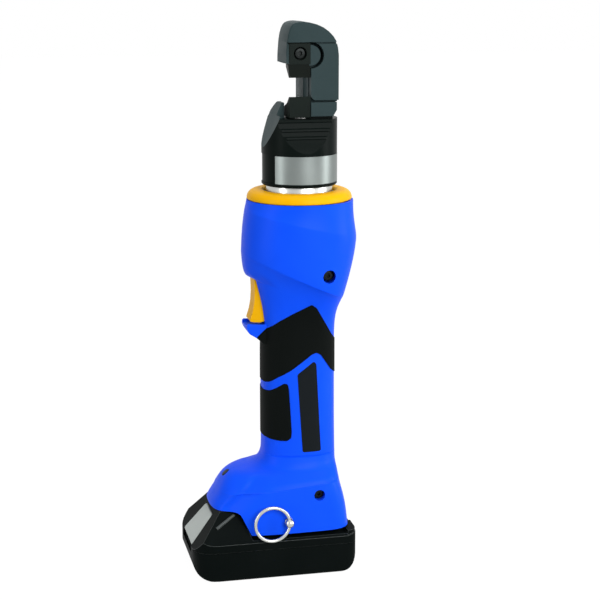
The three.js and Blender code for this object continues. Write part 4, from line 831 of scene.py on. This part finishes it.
def upper_blade_shape():
    plate = side_prism([(blade_front, 355), (blade_back, 355), (blade_back, 368.9), (blade_front, 368.9)],
                       blade_near, blade_far)
    boss = bar(6.8, (blade_back, blade_near, 361), (blade_back, blade_far, 361), 96)
    boss = combined(boss, cuboid((blade_back - 1, -20, 340), (20, 0, 380)), "INTERSECT")
    plate = combined(plate, boss, "UNION")
    edge = side_prism([(blade_front - 0.7, 355), (blade_front + 0.2, upper_edge), (blade_back, upper_edge),
                       (blade_back, 355)], blade_near + 0.5, blade_far)
    slope = along_tool([(-13.0, upper_edge - 1), (blade_far + 1, upper_edge - 1), (blade_far + 1, bevel_top - 0.5)],
                       -20, 20)
    edge = combined(edge, slope, "DIFFERENCE")
    plate = combined(plate, edge, "UNION")
    plate = combined(plate, bar(4.5, (-2.3, -20, 362.2), (-2.3, -10.0, 362.2), 64), "DIFFERENCE")
    return combined(plate, bar(2.3, (-2.3, -20, 362.2), (-2.3, 0, 362.2), 32), "DIFFERENCE")


upper_blade = new_piece("upper_blade_plate", upper_blade_shape(), blade_steel, ground_steel, smooth_under=30)
upper_blade.data.materials.append(phosphated)
for face in upper_blade.data.polygons:
    if face.center.z < 0.3549:
        face.material_index = 1
    elif face.center.x > blade_back * mm:
        face.material_index = 2
softly_edged(upper_blade, 0.2)
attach(upper_blade, "head")
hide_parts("upper_blade")


lower_blade_section = [(blade_near, 319.4), (9.8, 319.4), (9.8, 323.9), (-6.4, 328.9), (-12.8, 333.4),
                       (blade_near, 333.4)]
lower_blade = new_piece("lower_blade_block", along_tool(lower_blade_section, blade_front, blade_back), blade_steel,
                        smooth_under=30)
softly_edged(lower_blade, 0.25)
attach(lower_blade, "ram")
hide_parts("lower_blade")


# Socket-head screws of blackened steel: one holds the upper blade, three hold the shells.
black_screw = grained("blackened_screw", (0.0086, 0.0108, 0.0108), (0.0144, 0.0173, 0.0166), 0.34, 0.12, 900, 0.004,
                      metallic=0.5, specular=0.15)


def socket_screw(radius, head_length, shank_radius, shank_length, socket):
    """Screw along +Y with its head's face at the origin, in millimetres"""
    head_shape = bar(radius, (0, 0, 0), (0, head_length, 0), 64)
    rims = [edge for edge in head_shape.edges
            if all(abs(point.co.y) < 1e-6 for point in edge.verts) and len(edge.link_faces) == 2]
    bmesh.ops.bevel(head_shape, geom=rims, offset=0.45 * mm, segments=3, affect="EDGES", profile=0.5, material=-1)
    shank = bar(shank_radius, (0, head_length - 0.3, 0), (0, head_length + shank_length, 0), 32)
    whole = combined(head_shape, shank, "UNION")
    return combined(whole, bar(socket, (0, -1, 0), (0, head_length * 0.7, 0), 6), "DIFFERENCE")


def add_screw(name, node, body, shape, place, far_side=False):
    if far_side:
        bmesh.ops.rotate(shape, verts=shape.verts, cent=(0, 0, 0), matrix=Matrix.Rotation(math.pi, 3, "Z"))
    bmesh.ops.translate(shape, verts=shape.verts, vec=Vector(place) * mm)
    screw = new_piece(name, shape, black_screw, smooth_under=30)
    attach(screw, body)
    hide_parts(node)


add_screw("blade_screw", "upper_blade_screw", "head", socket_screw(3.5, 3.0, 2.0, 9.4, 1.75),
          (-2.3, -13.3, 362.2))



for screw_side, way in (("left", -1), ("right", 1)):
    add_screw(f"shell_screw_{screw_side}", f"body_screw_{screw_side}", "housing",
              socket_screw(3.5, 3.0, 2.0, 12.0, 1.7), (13.5, way * 29.8, 213.4), far_side=way > 0)
add_screw("base_shell_screw", "base_screw", "housing", socket_screw(3.4, 3.0, 2.0, 44, 1.7), (6.9, -31.4, 58))


# Yellow moulded trigger with a hollow front for the forefinger. It swings about a steel pin
# through its upper rear corner.
trigger_half = 7.4
trigger_outline = [
    (-22.9, 197.4), (-24, 202.2), (-26, 208.3), (-33.4, 208.3), (-33.1, 198), (-33.5, 191.4), (-34.5, 185.6),
    (-36.4, 179.6), (-36.4, 178.6), (-33.4, 178), (-29.2, 177.7), (-26, 178.5), (-23.6, 181.4),
]


def trigger_shape():
    shape = side_prism(trigger_outline, -trigger_half, trigger_half, 0.9, 4)
    return combined(shape, bar(1.8, (-24.5, -10, 199.6), (-24.5, 10, 199.6), 32), "DIFFERENCE")


trigger = new_piece("finger_trigger", trigger_shape(), yellow_nylon, smooth_under=40)
softly_edged(trigger, 0.25, 2, 45)
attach(trigger, "trigger")
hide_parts("trigger")


# Small smoked window over the status light, pressed into the front of the base.
window_plastic = grained("window_plastic", (0.008, 0.0113, 0.0176), (0.0145, 0.0185, 0.0257), 0.3, 0.06, 700, 0.003,
                         specular=0.06)
window_shape = bar(lens_radius, lens_middle - lens_direction * 5.6, lens_middle - lens_direction * 0.5, 48)
window_rim = [edge for edge in window_shape.edges if len(edge.link_faces) == 2
              and {len(face.verts) for face in edge.link_faces} == {4, 48}]
bmesh.ops.bevel(window_shape, geom=window_rim, offset=0.6 * mm, segments=4, affect="EDGES", profile=0.5, material=-1)
window = new_piece("light_window", window_shape, window_plastic)
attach(window, "housing")
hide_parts("status_lens")


# Plated eyelet with a ball head, which turns in the side of the base and holds the split
# wire ring for a wrist strap.
plated_steel = grained("plated_steel", (0.46, 0.47, 0.45), (0.54, 0.55, 0.52), 0.26, 0.1, 500, 0.003, metallic=1.0)
eyelet_place = Vector((-15.4, -39.6, 40.9))
wire_radius = 1.2
ring_radius = 12.1


def eyelet_shape():
    ball = bmesh.new()
    bmesh.ops.create_uvsphere(ball, u_segments=48, v_segments=24, radius=3.2 * mm)
    bmesh.ops.translate(ball, verts=ball.verts, vec=eyelet_place * mm)
    x, y, z = eyelet_place
    stem = bar(1.8, (x, y, z), (x, -30.8, z), 32)
    flange = bar(3.1, (x, -33.4, z), (x, -30.8, z), 48)
    collar = bar(3.0, (x, -37.3, z), (x, -36.3, z), 48)
    shape = combined(combined(combined(ball, stem, "UNION"), flange, "UNION"), collar, "UNION")
    return combined(shape, bar(1.5, (x, y, z - 6), (x, y, z + 6), 32), "DIFFERENCE")


eyelet = new_piece("ball_eyelet", eyelet_shape(), plated_steel, smooth_under=32)
softly_edged(eyelet, 0.12, 2, 45)
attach(eyelet, "eyelet")
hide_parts("ring_eyelet")

wire = bmesh.new()
bmesh.ops.create_circle(wire, segments=16, radius=wire_radius * mm, cap_ends=False)
bmesh.ops.rotate(wire, verts=wire.verts, cent=(0, 0, 0), matrix=Matrix.Rotation(math.radians(90), 3, "X"))
bmesh.ops.rotate(wire, verts=wire.verts, cent=(0, 0, 0), matrix=Matrix.Rotation(math.radians(90), 3, "Z"))
bmesh.ops.translate(wire, verts=wire.verts, vec=(0, 0, ring_radius * mm))
bmesh.ops.spin(wire, geom=wire.edges[:], cent=(0, 0, 0), axis=(0, 1, 0), angle=math.tau, steps=96, use_merge=True)
bmesh.ops.remove_doubles(wire, verts=wire.verts, dist=1e-6)
bmesh.ops.translate(wire, verts=wire.verts, vec=(eyelet_place - Vector((ring_radius, 0, 0))) * mm)
bmesh.ops.recalc_face_normals(wire, faces=wire.faces)
ring = new_piece("strap_ring", wire, plated_steel)
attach(ring, "ring")
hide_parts("lanyard_ring")


# Slide-on battery: a tray and a lid of black plastic, screwed together along the line round
# the pack. The lid has guide rails, a sloping nose with a rib on each shoulder, and a post on
# each rear corner.
battery_black = grained("battery_black", (0.0021, 0.0037, 0.0034), (0.0041, 0.0058, 0.0055), 0.5, 0.14, 2200, 0.018,
                        rubs=0.12, specular=0.02)
# Lighter finish for the pack's rounded edges and shoulder ribs: a painted highlight.
battery_edge_highlight = grained("battery_edge_highlight", (0.048, 0.0576, 0.0547), (0.0672, 0.0768, 0.0739), 0.36, 0.1, 1500, 0.006,
                       specular=0.2)
rail_sides = (19, 25)
post_sides = (17, 37.5)
rib_radius = 1
rib_highlight_width = 1.05
rib_highlight_reach = 16


def plan_prism(outline, z0, z1):
    shape = bmesh.new()
    face = shape.faces.new([shape.verts.new((x * mm, y * mm, z0 * mm)) for x, y in outline])
    grown = bmesh.ops.extrude_face_region(shape, geom=[face])
    bmesh.ops.translate(shape, vec=(0, 0, (z1 - z0) * mm),
                        verts=[item for item in grown["geom"] if isinstance(item, bmesh.types.BMVert)])
    bmesh.ops.recalc_face_normals(shape, faces=shape.faces)
    return shape


def curve(start, pull, end, steps=8):
    """Points of a quadratic curve, without its first point"""
    start, pull, end = Vector(start), Vector(pull), Vector(end)
    shares = [step / steps for step in range(1, steps + 1)]
    return [tuple(start * (1 - t) ** 2 + pull * 2 * t * (1 - t) + end * t * t) for t in shares]


def pack_plan(inset=0.0):
    front, rear, half = -82 + inset, 34 - inset, 37.5 - inset
    near = [(front, -half + 16), *curve((front, -half + 16), (front, -half), (front + 16, -half)),
            (rear - 8.4, -half), *curve((rear - 8.4, -half), (rear, -half), (rear, -half + 8.4))]
    return near + [(x, -y) for x, y in reversed(near)]


tray_outline = [(-54, 0), (18, 0), *curve((18, 0), (31.6, 0.2), (33.7, 13.5)), (34, 21.5), (-82, 21.5), (-82, 14),
                *curve((-82, 14), (-82, 7.4), (-77.4, 4.3)), *curve((-77.4, 4.3), (-71.5, 0), (-54, 0))[:-1]]
tray_section = [(37.5, 30), (-37.5, 30), (-37.5, 3.6), *curve((-37.5, 3.6), (-37.5, 0), (-33.4, 0)),
                (33.4, 0), *curve((33.4, 0), (37.5, 0), (37.5, 3.6))]
cell_middle_z = 11.6
cell_room = 9.4
first_cell, last_cell = -52.1, 22.3


slope_angle = math.atan2(47 - 21.8, 82 - 61.7)
slope_middle = Vector((-(82 + 61.7) / 2, 0, (47 + 21.8) / 2))


def on_slope(outline, sunk, raised):
    """Prism from an outline drawn on the sloping nose, in (up the slope, across), sunk and raised by so much"""
    shape = plan_prism(outline, -sunk, raised)
    turn = Matrix.Rotation(-slope_angle, 4, "Y")
    bmesh.ops.transform(shape, matrix=Matrix.Translation(slope_middle * mm) @ turn, verts=shape.verts)
    return shape


def button_pocket():
    """Room for the button and its travel, wider toward its foot"""
    return on_slope([(-20, -18.6), (10, -13.1), (10, 13.1), (-20, 18.6)], 4.8, 8)


def tray_shape():
    shape = combined(side_prism(tray_outline, -37.5, 37.5), plan_prism(pack_plan(), -5, 30), "INTERSECT")
    shape = combined(shape, along_tool(tray_section, -90, 40), "INTERSECT")
    room = cuboid((first_cell - cell_room, -35.3, 2.2), (last_cell, 35.3, 30))
    room = combined(room, bar(cell_room, (last_cell, -35.3, cell_middle_z), (last_cell, 35.3, cell_middle_z), 48),
                    "UNION")
    room = combined(room, cuboid((last_cell, -35.3, cell_middle_z), (last_cell + cell_room, 35.3, 30)), "UNION")
    shape = combined(shape, button_pocket(), "DIFFERENCE")
    return combined(shape, room, "DIFFERENCE")


tray = new_piece("battery_tray", tray_shape(), battery_black, battery_edge_highlight, smooth_under=24)
# The tray's bevel faces take the lighter edge finish: a painted highlight.
softly_edged(tray, 0.5, 3, 50, 1)
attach(tray, "battery")
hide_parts("battery_lower_case")

def lid_shape():
    side = side_prism([(-82, 21.8), (34, 21.8), (34, 28.7), (-40.6, 28.7), (-49.1, 47), (-61.7, 47)], -37.5, 37.5)
    shoulders = along_tool([(-37.5, 21.8), (37.5, 21.8), (37.5, 27.3), (35.9, 28.9), (23, 47), (-23, 47),
                            (-35.9, 28.9), (-37.5, 27.3)], -90, 40)
    shape = combined(side, shoulders, "INTERSECT")
    shape = combined(shape, plan_prism(pack_plan(), 0, 60), "INTERSECT")
    for way in (-1, 1):
        inner, outer = sorted(way * side for side in rail_sides)
        shape = combined(shape, cuboid((-39.8, inner, 26.5), (22.5, outer, 37.7)), "UNION")
    for way in (-1, 1):
        inner, outer = sorted(way * side for side in post_sides)
        post = cuboid((27, inner, 26.5), (34, outer, 31.2))
        post = combined(post, plan_prism(pack_plan(0.4), 20, 60), "INTERSECT")
        shape = combined(shape, post, "UNION")
    shape = combined(shape, cuboid((first_cell - cell_room, -35.3, 15), (last_cell + cell_room, 35.3, 26.5)),
                     "DIFFERENCE")
    ribs = [[Vector((-52.1, way * 24.6, 44.6)), Vector((-65.3, way * 29.8, 37.3))] for way in (-1, 1)]
    for top, foot in ribs:
        shape = combined(shape, bar(rib_radius, top, foot, 16), "UNION")
    # Faces round each rib take the lighter edge finish: a painted highlight.
    for face in shape.faces:
        middle = face.calc_center_median() / mm
        for top, foot in ribs:
            along = (foot - top).normalized()
            aside = (middle - top) - along * (middle - top).dot(along)
            near = (middle - top).length < rib_highlight_reach and (middle - foot).length < rib_highlight_reach
            if aside.length < rib_highlight_width and near:
                face.material_index = 1
    return combined(shape, button_pocket(), "DIFFERENCE")


lid = new_piece("battery_lid", lid_shape(), battery_black, battery_edge_highlight, smooth_under=24)
# The lid's bevel faces take the lighter edge finish: a painted highlight.
softly_edged(lid, 0.5, 3, 30, 1)
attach(lid, "battery")
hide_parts("battery_upper_case")


# Light grey release button, which slides down the sloping nose of the battery.
button_grey = grained("button_grey", (0.419, 0.453, 0.43), (0.476, 0.512, 0.482), 0.5, 0.1, 1800, 0.012, specular=0.2)


button_outline = [(-15.4, -16.4), (-14.2, -17.2), (8, -12.8), (9.6, -11), (9.6, 11), (8, 12.8), (-14.2, 17.2),
                  (-15.4, 16.4)]
button = new_piece("release_button", on_slope(button_outline, 4.4, 0), button_grey, smooth_under=30)
softly_edged(button, 0.5, 3, 20)
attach(button, "button")
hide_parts("battery_button")


# Inner pieces, kept from the frame as they are: each gets the finish of its own metal, rubber
# or plastic.
inner_looks = {
    "bright_steel": ("ground_steel", (0.5, 0.5, 0.49), (0.58, 0.58, 0.57), 0.26, 0.12, 400, 0.003, 1.0),
    "spring_steel": ("spring_steel", (0.28, 0.28, 0.29), (0.36, 0.36, 0.37), 0.36, 0.1, 900, 0.004, 1.0),
    "iron": ("cast_iron", (0.08, 0.082, 0.084), (0.12, 0.122, 0.124), 0.6, 0.15, 1400, 0.03, 0.7),
    "aluminium": ("aluminium", (0.45, 0.46, 0.47), (0.53, 0.54, 0.55), 0.42, 0.12, 900, 0.008, 1.0),
    "brass": ("brass", (0.45, 0.27, 0.07), (0.54, 0.34, 0.10), 0.32, 0.1, 500, 0.004, 1.0),
    "copper": ("copper", (0.42, 0.15, 0.05), (0.52, 0.21, 0.08), 0.4, 0.12, 1600, 0.02, 1.0),
    "black_grip": ("rubber", (0.008, 0.009, 0.009), (0.013, 0.014, 0.014), 0.7, 0.1, 1200, 0.02),
    "black_case": ("black_plastic", (0.010, 0.012, 0.012), (0.016, 0.018, 0.018), 0.5, 0.1, 1200, 0.015),
    "board": ("board", (0.012, 0.10, 0.035), (0.02, 0.14, 0.05), 0.4, 0.1, 300, 0.01, 0.0, 0.3),
    "cell_wrap": ("cell_wrap", (0.03, 0.20, 0.15), (0.045, 0.25, 0.19), 0.38, 0.1, 400, 0.006),
}
inner_finishes = {slot: grained(f"inner_{name}", *look) for slot, (name, *look) in inner_looks.items()}
inner_finishes["black_steel"] = black_screw
node_slots = {part["node"]: part["material_slot"] for part in frame["record"]["subparts"]}
for name, node in frame["nodes"].items():
    finish = inner_finishes.get(node_slots[name])
    if finish and not node.hide_render:
        for place in node.material_slots:
            place.material = finish


# Springs, wound as in the frame. Each is squeezed between a still body and a moving one; the table gives both
# bodies and the places of its two ends, and the wound copy is made here without being attached to either.
squeezed_springs = {
    "return_spring": ("head", "ram", (0, 0, 0.2802), (0, 0, 0.2425)),
    "pump_spring": ("housing", "pump_piston", (0.0187, 0, 0.1803), (0.0138, 0, 0.1803)),
    "trigger_spring": ("housing", "trigger", (-0.0169, 0, 0.18), (-0.0231, 0, 0.18)),
}
for name, (still, moving, still_end, moving_end) in squeezed_springs.items():
    wound = bmesh.new()
    wound.from_mesh(frame["nodes"][name].data)
    bmesh.ops.transform(wound, matrix=frame["nodes"][name].matrix_world, verts=wound.verts)
    spring = new_piece(f"{name}_wound", wound, inner_finishes["spring_steel"], smooth_under=50)
    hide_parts(name)
    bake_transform(spring)
